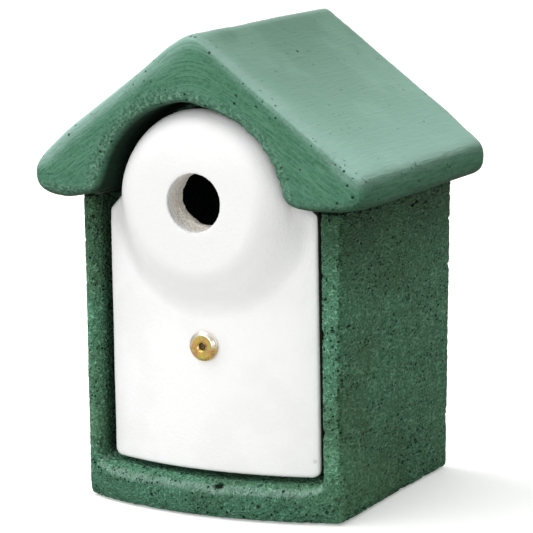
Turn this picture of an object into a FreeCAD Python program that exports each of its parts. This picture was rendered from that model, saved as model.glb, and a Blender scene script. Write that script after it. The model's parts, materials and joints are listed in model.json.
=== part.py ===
import FreeCAD, Part
import Sketcher
import math
import os

# Woodcrete nest box for small birds, in millimetres.
# X runs to the right, Y to the back and Z up. The origin is on the ground, under the middle of the box.
# The walls and the pitched roof are two green castings, bonded together. The white front lifts out:
# a bolt through it carries a bar that turns behind a ledge in the opening. A keyhole plate in the back
# hangs the box on a wall or a tree.

SIZES = {
    # Overall depth, and how far the gable stands in front of the body's front corners
    "depth": 170.0,
    "gable_overhang": 21.5,
    # Domed boss of the white front, with the entrance hole through it
    "dome_radius": 52.0,
    "dome_height": 12.0,
    "dome_round": 16.0,
    "dome_wall": 19.0,
    "dome_blend": 7.5,
    "hole_diameter": 32.0,
    "hole_rise": 3.6,
    # Hollow behind the boss
    "dish_rim": 11.0,
    "dish_slope": 14.0,
    # White front: a bowed plate with a flat back
    "shoulder_width": 12.5,
    "shoulder_rise": 12.0,
    "shoulder_cut": 18.5,
    "panel_edge": 15.0,
    "panel_bow": 12.0,
    "panel_setback": 5.4,
    "panel_corner_round": 5.0,
    "panel_edge_round": 2.0,
    "panel_gap": 4.5,
    "panel_foot_gap": 0.2,
    "spot_depth": 0.4,
    "spot_margin": 0.8,
    # Body casting
    "post_width": 12.5,
    "front_bow": 17.5,
    "front_corner_round": 8.0,
    "back_corner_round": 4.0,
    "base_round": 3.0,
    "floor_thickness": 22.0,
    "back_wall": 22.0,
    "chamber_round": 4.0,
    "sill_height": 23.5,
    "sill_seat": 9.0,
    "sill_step": 2.0,
    "sill_fall": 1.5,
    "opening_round": 4.5,
    "ledge_gap": 0.3,
    "ledge_depth": 10.0,
    "ledge_width": 16.5,
    "threshold_rise": 8.0,
    "drain_diameter": 8.0,
    "drain_pitch_x": 70.0,
    "drain_pitch_y": 50.0,
    # Roof casting
    "eave_overhang": 19.3,
    "eave_height": 21.1,
    "eave_round": 8.5,
    "roof_pitch": 36.3,
    "roof_edge_round": 5.5,
    "gable_round": 4.0,
    "roof_back_round": 3.0,
    "arch_gap": 6.0,
    "arch_rise": 2.3,
    "arch_corner_round": 12.0,
    "vault_lap": 9.0,
    # Mortar between walls and roof
    "mortar_bed": 1.5,
    "mortar_inset": 2.0,
    "mortar_margin": 1.0,
    # Latch bolt
    "bolt_diameter": 6.0,
    "bolt_clearance": 0.3,
    "head_diameter": 16.6,
    "head_flat": 13.0,
    "head_rim": 2.2,
    "head_height": 3.6,
    "head_gap": 17.0,
    "socket_width": 4.0,
    "socket_depth": 2.4,
    "thread_tail": 2.0,
    "thread_fit": 0.05,
    # Stack on the bolt behind the white front
    "turn_play": 0.15,
    "washer_diameter": 18.0,
    "washer_thickness": 1.6,
    "spacer_diameter": 10.0,
    "bar_width": 16.0,
    "bar_thickness": 2.5,
    "bar_clearance": 2.2,
    "bar_foot_gap": 5.2,
    "latch_catch": 5.5,
    "latch_clearance": 5.0,
    "spring_diameter": 11.0,
    "spring_thickness": 1.5,
    "spring_slit": 1.2,
    "nut_width": 10.0,
    "nut_height": 5.0,
    "collar_diameter": 8.6,
    "collar_height": 2.2,
    # Hanger plate in the back wall
    "hanger_drop": 26.0,
    "plate_width": 70.0,
    "plate_height": 36.0,
    "plate_thickness": 2.0,
    "plate_sink": 2.6,
    "plate_clearance": 0.5,
    "plate_corner_round": 4.0,
    "keyhole_diameter": 12.0,
    "keyhole_drop": 6.0,
    "keyhole_slot": 6.0,
    "keyhole_rise": 14.0,
    "nail_pocket_depth": 10.0,
    "nail_pocket_margin": 7.0,
    # Screws and plugs of the hanger plate
    "screw_margin": 9.0,
    "screw_diameter": 3.5,
    "screw_length": 13.0,
    "screw_head_diameter": 7.0,
    "screw_head_height": 2.2,
    "screw_crown_diameter": 4.2,
    "drive_span": 3.6,
    "drive_width": 0.9,
    "drive_depth": 1.3,
    "screw_clearance": 0.25,
    "plug_diameter": 6.0,
    "plug_length": 14.0,
    "plug_fit": 0.05,
}

# Places worked out from the sizes above. A place may use the ones before it.
PLACES = {
    "back_y": "dims.depth / 2",
    "gable_y": "-dims.depth / 2",
    "corner_y": "gable_y + dims.gable_overhang",
    "front_y": "corner_y - dims.front_bow",
    "panel_half": "dims.dome_radius + dims.shoulder_width",
    "opening_half": "panel_half + dims.panel_gap",
    "opening_width": "2 * opening_half",
    "body_half": "opening_half + dims.post_width",
    "front_centre_y": "front_y + (body_half ^ 2 + dims.front_bow ^ 2) / (2 * dims.front_bow)",
    "panel_edge_y": "corner_y + dims.panel_setback",
    "panel_front_y": "panel_edge_y - dims.panel_bow",
    "panel_centre_y": "panel_front_y + (panel_half ^ 2 + dims.panel_bow ^ 2) / (2 * dims.panel_bow)",
    "panel_back_y": "panel_edge_y + dims.panel_edge",
    "dome_face_y": "panel_front_y - dims.dome_height",
    "dish_floor_y": "dome_face_y + dims.dome_wall",
    "ledge_y": "panel_back_y + dims.ledge_gap",
    "chamber_front_y": "ledge_y + dims.ledge_depth",
    "chamber_back_y": "back_y - dims.back_wall",
    "inner_half": "opening_half - dims.ledge_width",
    "bar_half": "inner_half + dims.latch_catch",
    "chamber_half": "bar_half + dims.latch_clearance",
    "threshold_z": "dims.sill_height + dims.threshold_rise",
    "panel_foot_z": "dims.sill_height + dims.panel_foot_gap",
    "bolt_z": "threshold_z + dims.bar_foot_gap + bar_half",
    "dome_z": "bolt_z + dims.head_diameter / 2 + dims.head_gap + dims.dome_radius",
    "panel_top_z": "dome_z + dims.shoulder_rise",
    "panel_height": "panel_top_z - panel_foot_z",
    "soffit_z": "dome_z + dims.arch_rise",
    "wall_top_z": "soffit_z - dims.mortar_bed",
    "chamber_depth": "wall_top_z - dims.floor_thickness",
    "roof_half": "body_half + dims.eave_overhang",
    "eave_z": "soffit_z + dims.eave_height",
    "apex_z": "eave_z + roof_half * tan(dims.roof_pitch)",
    "arch_radius": "dims.dome_radius + dims.arch_gap",
    "vault_radius": "dims.dome_radius - dims.vault_lap",
    "vault_length": "chamber_back_y - ledge_y",
    "dish_radius": "dims.dome_radius - dims.dish_rim",
    "dish_floor_radius": "dish_radius - dims.dish_slope",
    "dome_flat_radius": "dims.dome_radius - dims.dome_round",
    "dome_side_y": "dome_face_y + dims.dome_round",
    "dome_bend_y": "dome_side_y - dims.dome_round * cos(45)",
    "dome_bend_radius": "dome_flat_radius + dims.dome_round * sin(45)",
    "blend_radius": "min(dims.dome_blend; dims.shoulder_width - dims.panel_edge_round * 2)",
    "hole_radius": "dims.hole_diameter / 2",
    "sill_step_y": "ledge_y - dims.sill_seat",
    "sill_step_z": "dims.sill_height - dims.sill_step",
    "sill_nose_z": "sill_step_z - dims.sill_fall",
    "drain_radius": "dims.drain_diameter / 2",
    "drain_left_x": "-dims.drain_pitch_x / 2",
    "drain_right_x": "dims.drain_pitch_x / 2",
    "drain_front_y": "(chamber_front_y + chamber_back_y - dims.drain_pitch_y) / 2",
    "drain_back_y": "(chamber_front_y + chamber_back_y + dims.drain_pitch_y) / 2",
    "mortar_outer": "body_half - dims.mortar_inset",
    "mortar_inner": "opening_half + dims.mortar_margin",
    "mortar_front_y": "corner_y + dims.mortar_inset",
    "mortar_back_y": "back_y - dims.mortar_inset",
    "mortar_inside_y": "chamber_back_y + dims.mortar_margin",
    "seat_y": "panel_front_y + dims.spot_depth",
    "washer_y": "panel_back_y + dims.turn_play",
    "spacer_y": "washer_y + dims.washer_thickness",
    "bar_y": "chamber_front_y + dims.bar_clearance",
    "spring_y": "bar_y + dims.bar_thickness",
    "nut_y": "spring_y + dims.spring_thickness",
    "bolt_end_y": "nut_y + dims.nut_height + dims.collar_height + dims.thread_tail",
    "spacer_length": "bar_y - spacer_y",
    "bolt_length": "bolt_end_y - seat_y",
    "bolt_radius": "dims.bolt_diameter / 2",
    "panel_bolt_radius": "bolt_radius + dims.bolt_clearance",
    "stack_bore_radius": "bolt_radius + dims.thread_fit",
    "spot_radius": "dims.head_diameter / 2 + dims.spot_margin",
    "head_radius": "dims.head_diameter / 2",
    "head_flat_radius": "dims.head_flat / 2",
    "socket_radius": "dims.socket_width / sqrt(3)",
    "socket_flat": "dims.socket_width / 2",
    "socket_point": "socket_radius / 2",
    "washer_radius": "dims.washer_diameter / 2",
    "spacer_radius": "dims.spacer_diameter / 2",
    "bar_end_radius": "dims.bar_width / 2",
    "bar_straight": "bar_half - bar_end_radius",
    "spring_radius": "dims.spring_diameter / 2",
    "spring_slit_half": "dims.spring_slit / 2",
    "nut_radius": "dims.nut_width / sqrt(3)",
    "nut_flat": "dims.nut_width / 2",
    "nut_point": "nut_radius / 2",
    "collar_radius": "dims.collar_diameter / 2",
    "hanger_z": "wall_top_z - dims.hanger_drop",
    "plate_back_y": "back_y - dims.plate_sink",
    "plate_front_y": "plate_back_y - dims.plate_thickness",
    "recess_depth": "dims.plate_sink + dims.plate_thickness",
    "recess_half": "dims.plate_width / 2 + dims.plate_clearance",
    "recess_rise": "dims.plate_height / 2 + dims.plate_clearance",
    "plate_half": "dims.plate_width / 2",
    "plate_rise": "dims.plate_height / 2",
    "keyhole_radius": "dims.keyhole_diameter / 2",
    "slot_half": "dims.keyhole_slot / 2",
    "slot_top": "dims.keyhole_rise - dims.keyhole_drop",
    "slot_crown": "slot_top + slot_half",
    "nail_pocket_half": "keyhole_radius + dims.nail_pocket_margin",
    "nail_pocket_top": "slot_crown + dims.nail_pocket_margin",
    "nail_pocket_foot": "-dims.keyhole_drop - nail_pocket_half",
    "screw_left_x": "dims.screw_margin - plate_half",
    "screw_right_x": "plate_half - dims.screw_margin",
    "screw_radius": "dims.screw_diameter / 2",
    "screw_hole_radius": "screw_radius + dims.screw_clearance",
    "screw_head_radius": "dims.screw_head_diameter / 2",
    "screw_crown_radius": "dims.screw_crown_diameter / 2",
    "drive_reach": "dims.drive_span / 2",
    "drive_half": "dims.drive_width / 2",
    "screw_shank": "dims.plate_thickness + dims.screw_length",
    "plug_radius": "dims.plug_diameter / 2",
    "plug_foot_y": "plate_front_y - dims.plug_length",
    "plug_bore_radius": "screw_radius + dims.plug_fit",
    "plug_hole_radius": "plug_radius + dims.plug_fit",
}

# Two measures closer than this, in millimetres, count as the same
TOUCH = 0.01

doc = FreeCAD.newDocument("nest_box")


# Sheets of sizes and places

def fill_sheet(name, entries):
    sheet = doc.addObject("Spreadsheet::Sheet", name)
    for row, (alias, content) in enumerate(entries.items(), start=1):
        sheet.set(f"A{row}", alias)
        sheet.set(f"B{row}", content)
        sheet.setAlias(f"B{row}", alias)
    doc.recompute()
    return sheet


dims = fill_sheet("dims", {alias: str(size) for alias, size in SIZES.items()})
places = fill_sheet("places", {alias: "=" + formula for alias, formula in PLACES.items()})


def cell(term):
    """Expression for a named size or place, which may have a leading minus."""
    name = term.lstrip("-")
    minus = "-" if term.startswith("-") else ""
    sheet = "dims" if name in SIZES else "places"
    return f"{minus}{sheet}.{name}"


def number(term):
    """Present value of a named size or place, in millimetres."""
    if term == "0":
        return 0.0
    name = term.lstrip("-")
    sheet = dims if name in SIZES else places
    sign = -1.0 if term.startswith("-") else 1.0
    return sign * float(sheet.get(name))


# Sketches

def new_body(label):
    body = doc.addObject("PartDesign::Body", label)
    body.Label = label
    return body


def sketch_on(body, name, plane, lift=None, up=None):
    """Sketch on an origin plane, moved along its normal and up its own second axis."""
    sketch = body.newObject("Sketcher::SketchObject", name)
    support = next(item for item in body.Origin.OriginFeatures if item.Role == plane)
    sketch.AttachmentSupport = (support, [""])
    sketch.MapMode = "FlatFace"
    if lift:
        sketch.setExpression("AttachmentOffset.Base.z", cell(lift))
    if up:
        sketch.setExpression("AttachmentOffset.Base.y", cell(up))
    doc.recompute()
    return sketch


def bind(sketch, constraint, term):
    index = sketch.addConstraint(constraint)
    sketch.setExpression(f"Constraints[{index}]", cell(term))


def pin(sketch, geometry, point, x, y):
    """Hold one point of the sketch at named distances from its origin."""
    for term, kind, axis in ((x, "DistanceX", -2), (y, "DistanceY", -1)):
        if term == "0":
            sketch.addConstraint(Sketcher.Constraint("PointOnObject", geometry, point, axis))
        else:
            distance = Sketcher.Constraint(kind, -1, 1, geometry, point, number(term))
            bind(sketch, distance, term)


def outline(sketch, corners, arcs=None):
    """Closed outline through corners, anticlockwise.

    arcs gives, for a side that is an arc, a point on it and the second coordinate of its centre.
    """
    arcs = arcs or {}
    spots = [FreeCAD.Vector(number(x), number(y), 0) for x, y in corners]
    count = len(corners)
    first = sketch.GeometryCount
    for side in range(count):
        start = spots[side]
        end = spots[(side + 1) % count]
        if side in arcs:
            x, y, centre = arcs[side]
            middle = FreeCAD.Vector(number(x), number(y), 0)
            sketch.addGeometry(Part.Arc(start, middle, end))
        else:
            sketch.addGeometry(Part.LineSegment(start, end))
    for side in range(count):
        following = first + (side + 1) % count
        sketch.addConstraint(Sketcher.Constraint("Coincident", first + side, 2, following, 1))
    for side, (x, y) in enumerate(corners):
        pin(sketch, first + side, 1, x, y)
    for side, (x, y, centre) in arcs.items():
        height = Sketcher.Constraint("DistanceY", -1, 1, first + side, 3, number(centre))
        bind(sketch, height, centre)


def rectangle(sketch, left, right, low, high):
    outline(sketch, [(left, low), (right, low), (right, high), (left, high)])


def circle(sketch, x, y, radius):
    centre = FreeCAD.Vector(number(x), number(y), 0)
    index = sketch.addGeometry(Part.Circle(centre, FreeCAD.Vector(0, 0, 1), number(radius)))
    pin(sketch, index, 3, x, y)
    bind(sketch, Sketcher.Constraint("Radius", index, number(radius)), radius)


def hexagon(sketch, radius, flat, point):
    """Hexagon with two corners on the sketch's second axis."""
    corners = [("0", "-" + radius), (flat, "-" + point), (flat, point)]
    corners += [("0", radius), ("-" + flat, point), ("-" + flat, "-" + point)]
    outline(sketch, corners)


def cross(sketch, reach, half):
    """Plus sign along the sketch's axes: how far its arms reach, and half their width."""
    corners = [("-" + half, "-" + reach), (half, "-" + reach), (half, "-" + half)]
    corners += [(reach, "-" + half), (reach, half), (half, half)]
    corners += [(half, reach), ("-" + half, reach), ("-" + half, half)]
    corners += [("-" + reach, half), ("-" + reach, "-" + half), ("-" + half, "-" + half)]
    outline(sketch, corners)


# Solid features

def pad(sketch, name, length):
    body = sketch.getParentGeoFeatureGroup()
    feature = body.newObject("PartDesign::Pad", name)
    feature.Profile = sketch
    feature.setExpression("Length", cell(length))
    doc.recompute()
    return feature


def pocket(sketch, name, length=None, towards_normal=False, symmetric=False):
    """Cut a sketch into its body, by a named length or right through."""
    body = sketch.getParentGeoFeatureGroup()
    before = body.Shape.Volume
    feature = body.newObject("PartDesign::Pocket", name)
    feature.Profile = sketch
    feature.Reversed = towards_normal
    if symmetric:
        feature.SideType = "Symmetric"
    if length:
        feature.setExpression("Length", cell(length))
    else:
        feature.Type = "ThroughAll"
    doc.recompute()
    if feature.Shape.Volume >= before:
        raise RuntimeError(f"{name} cut nothing")
    return feature


def turned(sketch, name, axis, cut=False):
    """Full turn of a sketch about one of its own axes, added or cut away."""
    body = sketch.getParentGeoFeatureGroup()
    before = body.Shape.Volume if cut else 0.0
    feature = body.newObject("PartDesign::Groove" if cut else "PartDesign::Revolution", name)
    feature.Profile = sketch
    feature.ReferenceAxis = (sketch, [axis])
    feature.Angle = 360.0
    doc.recompute()
    if cut and feature.Shape.Volume >= before:
        raise RuntimeError(f"{name} cut nothing")
    return feature


def near(first, second):
    return abs(first - second) < TOUCH


def is_straight(edge, axis):
    """True for a straight edge along axis 0, 1 or 2."""
    if edge.Curve.TypeId != "Part::GeomLine":
        return False
    return near(abs(edge.Curve.Direction[axis]), 1.0)


def edges_of(feature, wanted):
    """Names of the edges of a feature for which wanted(edge, its middle point) holds."""
    names = []
    for index, edge in enumerate(feature.Shape.Edges, start=1):
        middle = edge.valueAt((edge.FirstParameter + edge.LastParameter) / 2)
        if wanted(edge, middle):
            names.append(f"Edge{index}")
    if not names:
        raise RuntimeError(f"no such edges on {feature.Name}")
    return names


def rounded(feature, name, radius, wanted):
    body = feature.getParentGeoFeatureGroup()
    fillet = body.newObject("PartDesign::Fillet", name)
    fillet.Base = (feature, edges_of(feature, wanted))
    fillet.setExpression("Radius", cell(radius))
    doc.recompute()
    return fillet


def bevelled(feature, name, size, wanted):
    body = feature.getParentGeoFeatureGroup()
    chamfer = body.newObject("PartDesign::Chamfer", name)
    chamfer.Base = (feature, edges_of(feature, wanted))
    chamfer.setExpression("Size", cell(size))
    doc.recompute()
    return chamfer


def stand_along_y(body, y, z, x=None):
    """Place a body that was made along its own Z so that it points to the back."""
    body.Placement = FreeCAD.Placement(
        FreeCAD.Vector(0, 0, 0), FreeCAD.Rotation(FreeCAD.Vector(1, 0, 0), -90))
    if x:
        body.setExpression("Placement.Base.x", cell(x))
    body.setExpression("Placement.Base.y", cell(y))
    body.setExpression("Placement.Base.z", cell(z))
    doc.recompute()


# Body: floor, back, sides and front posts in one casting

def make_body_shell():
    body = new_body("body_shell")
    plan = sketch_on(body, "body_plan", "XY_Plane")
    corners = [("-body_half", "corner_y"), ("body_half", "corner_y")]
    corners += [("body_half", "back_y"), ("-body_half", "back_y")]
    outline(plan, corners, {0: ("0", "front_y", "front_centre_y")})
    block = pad(plan, "body_block", "wall_top_z")

    def upright_at(y):
        return lambda edge, middle: is_straight(edge, 2) and near(middle.y, number(y))

    fronts = rounded(block, "front_corners", "front_corner_round", upright_at("corner_y"))
    backs = rounded(fronts, "back_corners", "back_corner_round", upright_at("back_y"))
    rounded(backs, "base_edge", "base_round", lambda edge, middle: near(middle.z, 0))

    chamber = sketch_on(body, "chamber_plan", "XY_Plane", lift="wall_top_z")
    rectangle(chamber, "-chamber_half", "chamber_half", "chamber_front_y", "chamber_back_y")
    hollow = pocket(chamber, "chamber", "chamber_depth")

    def chamber_upright(edge, middle):
        inside = near(abs(middle.x), number("chamber_half"))
        return is_straight(edge, 2) and inside and middle.y > number("corner_y")

    rounded(hollow, "chamber_corners", "chamber_round", chamber_upright)

    opening = sketch_on(body, "opening_outline", "XZ_Plane", lift="-ledge_y")
    rectangle(opening, "-opening_half", "opening_half", "sill_height", "soffit_z")
    pocket(opening, "opening", towards_normal=True)

    inner = sketch_on(body, "inner_opening_outline", "XZ_Plane", lift="-ledge_y")
    rectangle(inner, "-inner_half", "inner_half", "threshold_z", "soffit_z")
    pocket(inner, "inner_opening", "ledge_depth")

    slope = sketch_on(body, "sill_slope_outline", "YZ_Plane")
    corners = [("front_y", "sill_nose_z"), ("sill_step_y", "sill_step_z")]
    corners += [("sill_step_y", "sill_height"), ("front_y", "sill_height")]
    outline(slope, corners)
    sloped = pocket(slope, "sill_slope", "opening_width", symmetric=True)

    def opening_edge(edge, middle):
        on_side = near(abs(middle.x), number("opening_half")) and middle.y < number("panel_edge_y")
        from_bow = math.hypot(middle.x, middle.y - number("front_centre_y"))
        on_bow = near(from_bow, number("front_centre_y") - number("front_y"))
        on_nose = on_bow and number("sill_nose_z") - TOUCH < middle.z < number("sill_step_z")
        return (on_side and is_straight(edge, 2)) or on_nose

    rounded(sloped, "opening_edges", "opening_round", opening_edge)

    drains = sketch_on(body, "drain_centres", "XY_Plane")
    for x in ("drain_left_x", "drain_right_x"):
        for y in ("drain_front_y", "drain_back_y"):
            circle(drains, x, y, "drain_radius")
    pocket(drains, "drains", "floor_thickness", towards_normal=True)

    recess = sketch_on(body, "plate_recess_outline", "XZ_Plane", lift="-back_y", up="hanger_z")
    rectangle(recess, "-recess_half", "recess_half", "-recess_rise", "recess_rise")
    pocket(recess, "plate_recess", "recess_depth", towards_normal=True)

    nail = sketch_on(body, "nail_pocket_outline", "XZ_Plane", lift="-plate_front_y", up="hanger_z")
    rectangle(nail, "-nail_pocket_half", "nail_pocket_half", "nail_pocket_foot", "nail_pocket_top")
    pocket(nail, "nail_pocket", "nail_pocket_depth", towards_normal=True)

    plugs = sketch_on(body, "plug_centres", "XZ_Plane", lift="-plate_front_y", up="hanger_z")
    for x in ("screw_left_x", "screw_right_x"):
        circle(plugs, x, "0", "plug_hole_radius")
    pocket(plugs, "plug_holes", "plug_length", towards_normal=True)
    return body


# Roof: a pitched cap with rounded edges, an arch over the boss and a vault over the chamber

def make_roof():
    body = new_body("roof")
    profile = sketch_on(body, "roof_profile", "XZ_Plane", lift="-back_y")
    corners = [("-roof_half", "soffit_z"), ("roof_half", "soffit_z"), ("roof_half", "eave_z")]
    corners += [("0", "apex_z"), ("-roof_half", "eave_z")]
    outline(profile, corners)
    prism = pad(profile, "roof_prism", "depth")

    def ridge_or_eave_top(edge, middle):
        return is_straight(edge, 1) and not near(middle.z, number("soffit_z"))

    def eave_bottom(edge, middle):
        return is_straight(edge, 1) and near(middle.z, number("soffit_z"))

    tops = rounded(prism, "roof_top_edges", "roof_edge_round", ridge_or_eave_top)
    eaves = rounded(tops, "eave_edges", "eave_round", eave_bottom)
    rounded(eaves, "roof_back_edge", "roof_back_round", lambda edge, middle: near(middle.y, number("back_y")))

    arch = sketch_on(body, "arch_outline", "XZ_Plane", lift="-ledge_y", up="dome_z")
    circle(arch, "0", "0", "arch_radius")
    arched = pocket(arch, "arch", towards_normal=True)

    def arch_corner(edge, middle):
        in_arch = abs(middle.x) < number("arch_radius")
        return is_straight(edge, 1) and near(middle.z, number("soffit_z")) and in_arch

    cornered = rounded(arched, "arch_corners", "arch_corner_round", arch_corner)
    rounded(cornered, "gable_edge", "gable_round", lambda edge, middle: near(middle.y, number("gable_y")))

    vault = sketch_on(body, "vault_outline", "XZ_Plane", lift="-ledge_y", up="dome_z")
    circle(vault, "0", "0", "vault_radius")
    pocket(vault, "vault", "vault_length")
    return body


def make_mortar_bed():
    body = new_body("roof_mortar_bed")
    plan = sketch_on(body, "mortar_plan", "XY_Plane", lift="wall_top_z")
    corners = [("-mortar_outer", "mortar_front_y"), ("-mortar_inner", "mortar_front_y")]
    corners += [("-mortar_inner", "mortar_inside_y"), ("mortar_inner", "mortar_inside_y")]
    corners += [("mortar_inner", "mortar_front_y"), ("mortar_outer", "mortar_front_y")]
    corners += [("mortar_outer", "mortar_back_y"), ("-mortar_outer", "mortar_back_y")]
    outline(plan, corners)
    pad(plan, "mortar_layer", "mortar_bed")
    return body


# White front: bowed plate, domed boss, hollow behind it, entrance hole and bolt hole

def make_front_panel():
    body = new_body("front_panel")
    plan = sketch_on(body, "panel_plan", "XY_Plane", lift="panel_foot_z")
    corners = [("-panel_half", "panel_edge_y"), ("panel_half", "panel_edge_y")]
    corners += [("panel_half", "panel_back_y"), ("-panel_half", "panel_back_y")]
    outline(plan, corners, {0: ("0", "panel_front_y", "panel_centre_y")})
    plate = pad(plan, "panel_plate", "panel_height")

    def side_corner_at(z):
        return lambda edge, middle: is_straight(edge, 1) and near(middle.z, number(z))

    shouldered = bevelled(plate, "shoulders", "shoulder_cut", side_corner_at("panel_top_z"))
    cornered = rounded(shouldered, "foot_corners", "panel_corner_round", side_corner_at("panel_foot_z"))

    def front_edge(edge, middle):
        return all(vertex.Point.y < number("panel_edge_y") + TOUCH for vertex in edge.Vertexes)

    rounded(cornered, "panel_front_edge", "panel_edge_round", front_edge)

    boss = sketch_on(body, "boss_profile", "YZ_Plane", up="dome_z")
    corners = [("dome_face_y", "0"), ("panel_back_y", "0"), ("panel_back_y", "dome_radius")]
    corners += [("dome_side_y", "dome_radius"), ("dome_face_y", "dome_flat_radius")]
    outline(boss, corners, {3: ("dome_bend_y", "dome_bend_radius", "dome_flat_radius")})
    raised = turned(boss, "boss", "H_Axis")

    def boss_foot(edge, middle):
        from_dome = math.hypot(middle.x, middle.z - number("dome_z"))
        from_bow = math.hypot(middle.x, middle.y - number("panel_centre_y"))
        on_dome = number("dome_flat_radius") < from_dome < number("dome_radius") + TOUCH
        return on_dome and near(from_bow, number("panel_centre_y") - number("panel_front_y"))

    rounded(raised, "boss_blend", "blend_radius", boss_foot)

    dish = sketch_on(body, "dish_profile", "YZ_Plane", up="dome_z")
    corners = [("dish_floor_y", "0"), ("panel_back_y", "0"), ("panel_back_y", "dish_radius")]
    corners += [("dish_floor_y", "dish_floor_radius")]
    outline(dish, corners)
    turned(dish, "dish", "H_Axis", cut=True)

    entrance = sketch_on(body, "entrance_outline", "XZ_Plane", lift="-dome_face_y", up="dome_z")
    circle(entrance, "0", "hole_rise", "hole_radius")
    pocket(entrance, "entrance")

    spot = sketch_on(body, "spot_outline", "XZ_Plane", lift="-seat_y", up="bolt_z")
    circle(spot, "0", "0", "spot_radius")
    pocket(spot, "spot_face", towards_normal=True)

    hole = sketch_on(body, "bolt_hole_outline", "XZ_Plane", lift="-seat_y", up="bolt_z")
    circle(hole, "0", "0", "panel_bolt_radius")
    pocket(hole, "bolt_hole")
    return body


# Latch: bolt, washer, spacer, bar, spring washer and lock nut on one axis

def make_latch_bolt():
    body = new_body("latch_bolt")
    profile = sketch_on(body, "bolt_profile", "XZ_Plane")
    corners = [("0", "-head_height"), ("head_flat_radius", "-head_height"), ("head_radius", "-head_rim")]
    corners += [("head_radius", "0"), ("bolt_radius", "0"), ("bolt_radius", "bolt_length"), ("0", "bolt_length")]
    outline(profile, corners)
    turned(profile, "bolt_round", "V_Axis")
    socket = sketch_on(body, "socket_outline", "XY_Plane", lift="-head_height")
    hexagon(socket, "socket_radius", "socket_flat", "socket_point")
    pocket(socket, "socket", "socket_depth", towards_normal=True)
    stand_along_y(body, "seat_y", "bolt_z")
    return body


def make_ring(label, outer, bore, thickness):
    body = new_body(label)
    plan = sketch_on(body, label + "_plan", "XY_Plane")
    circle(plan, "0", "0", outer)
    circle(plan, "0", "0", bore)
    pad(plan, label + "_ring", thickness)
    return body


def make_latch_washer():
    body = make_ring("latch_washer", "washer_radius", "stack_bore_radius", "washer_thickness")
    stand_along_y(body, "washer_y", "bolt_z")
    return body


def make_latch_spacer():
    body = make_ring("latch_spacer", "spacer_radius", "stack_bore_radius", "spacer_length")
    stand_along_y(body, "spacer_y", "bolt_z")
    return body


def make_latch_bar():
    body = new_body("latch_bar")
    plan = sketch_on(body, "bar_plan", "XY_Plane")
    corners = [("bar_end_radius", "-bar_straight"), ("bar_end_radius", "bar_straight")]
    corners += [("-bar_end_radius", "bar_straight"), ("-bar_end_radius", "-bar_straight")]
    ends = {1: ("0", "bar_half", "bar_straight"), 3: ("0", "-bar_half", "-bar_straight")}
    outline(plan, corners, ends)
    circle(plan, "0", "0", "stack_bore_radius")
    pad(plan, "bar_strip", "bar_thickness")
    stand_along_y(body, "bar_y", "bolt_z")
    return body


def make_latch_spring_washer():
    body = make_ring("latch_spring_washer", "spring_radius", "stack_bore_radius", "spring_thickness")
    slit = sketch_on(body, "slit_outline", "XY_Plane")
    rectangle(slit, "-spring_slit_half", "spring_slit_half", "0", "spring_radius")
    pocket(slit, "slit", towards_normal=True)
    stand_along_y(body, "spring_y", "bolt_z")
    return body


def make_latch_lock_nut():
    body = new_body("latch_lock_nut")
    plan = sketch_on(body, "nut_plan", "XY_Plane")
    hexagon(plan, "nut_radius", "nut_flat", "nut_point")
    circle(plan, "0", "0", "stack_bore_radius")
    pad(plan, "nut_hexagon", "nut_height")
    collar = sketch_on(body, "collar_plan", "XY_Plane", lift="nut_height")
    circle(collar, "0", "0", "collar_radius")
    circle(collar, "0", "0", "stack_bore_radius")
    pad(collar, "nut_collar", "collar_height")
    stand_along_y(body, "nut_y", "bolt_z")
    return body


# Hanger: keyhole plate, with its screws and plugs

def make_hanger_plate():
    body = new_body("hanger_plate")
    face = sketch_on(body, "plate_outline", "XZ_Plane", lift="-plate_back_y", up="hanger_z")
    rectangle(face, "-plate_half", "plate_half", "-plate_rise", "plate_rise")
    plate = pad(face, "plate_sheet", "plate_thickness")

    def plate_corner(edge, middle):
        return is_straight(edge, 1)

    rounded(plate, "plate_corners", "plate_corner_round", plate_corner)
    slot = sketch_on(body, "slot_outline", "XZ_Plane", lift="-plate_back_y", up="hanger_z")
    corners = [("-slot_half", "-keyhole_drop"), ("slot_half", "-keyhole_drop"), ("slot_half", "slot_top")]
    corners += [("-slot_half", "slot_top")]
    outline(slot, corners, {2: ("0", "slot_crown", "slot_top")})
    pocket(slot, "slot", towards_normal=True)
    holes = sketch_on(body, "plate_holes_outline", "XZ_Plane", lift="-plate_back_y", up="hanger_z")
    circle(holes, "0", "-keyhole_drop", "keyhole_radius")
    for x in ("screw_left_x", "screw_right_x"):
        circle(holes, x, "0", "screw_hole_radius")
    pocket(holes, "plate_holes", towards_normal=True)
    return body


def make_hanger_screw(side):
    body = new_body(f"hanger_screw_{side}")
    profile = sketch_on(body, f"screw_profile_{side}", "XZ_Plane")
    corners = [("0", "-screw_shank"), ("screw_radius", "-screw_shank"), ("screw_radius", "0")]
    corners += [("screw_head_radius", "0"), ("screw_crown_radius", "screw_head_height"), ("0", "screw_head_height")]
    outline(profile, corners)
    turned(profile, f"screw_round_{side}", "V_Axis")
    drive = sketch_on(body, f"drive_outline_{side}", "XY_Plane", lift="screw_head_height")
    cross(drive, "drive_reach", "drive_half")
    pocket(drive, f"drive_{side}", "drive_depth")
    stand_along_y(body, "plate_back_y", "hanger_z", f"screw_{side}_x")
    return body


def make_hanger_plug(side):
    body = make_ring(f"hanger_plug_{side}", "plug_radius", "plug_bore_radius", "plug_length")
    stand_along_y(body, "plug_foot_y", "hanger_z", f"screw_{side}_x")
    return body


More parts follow.
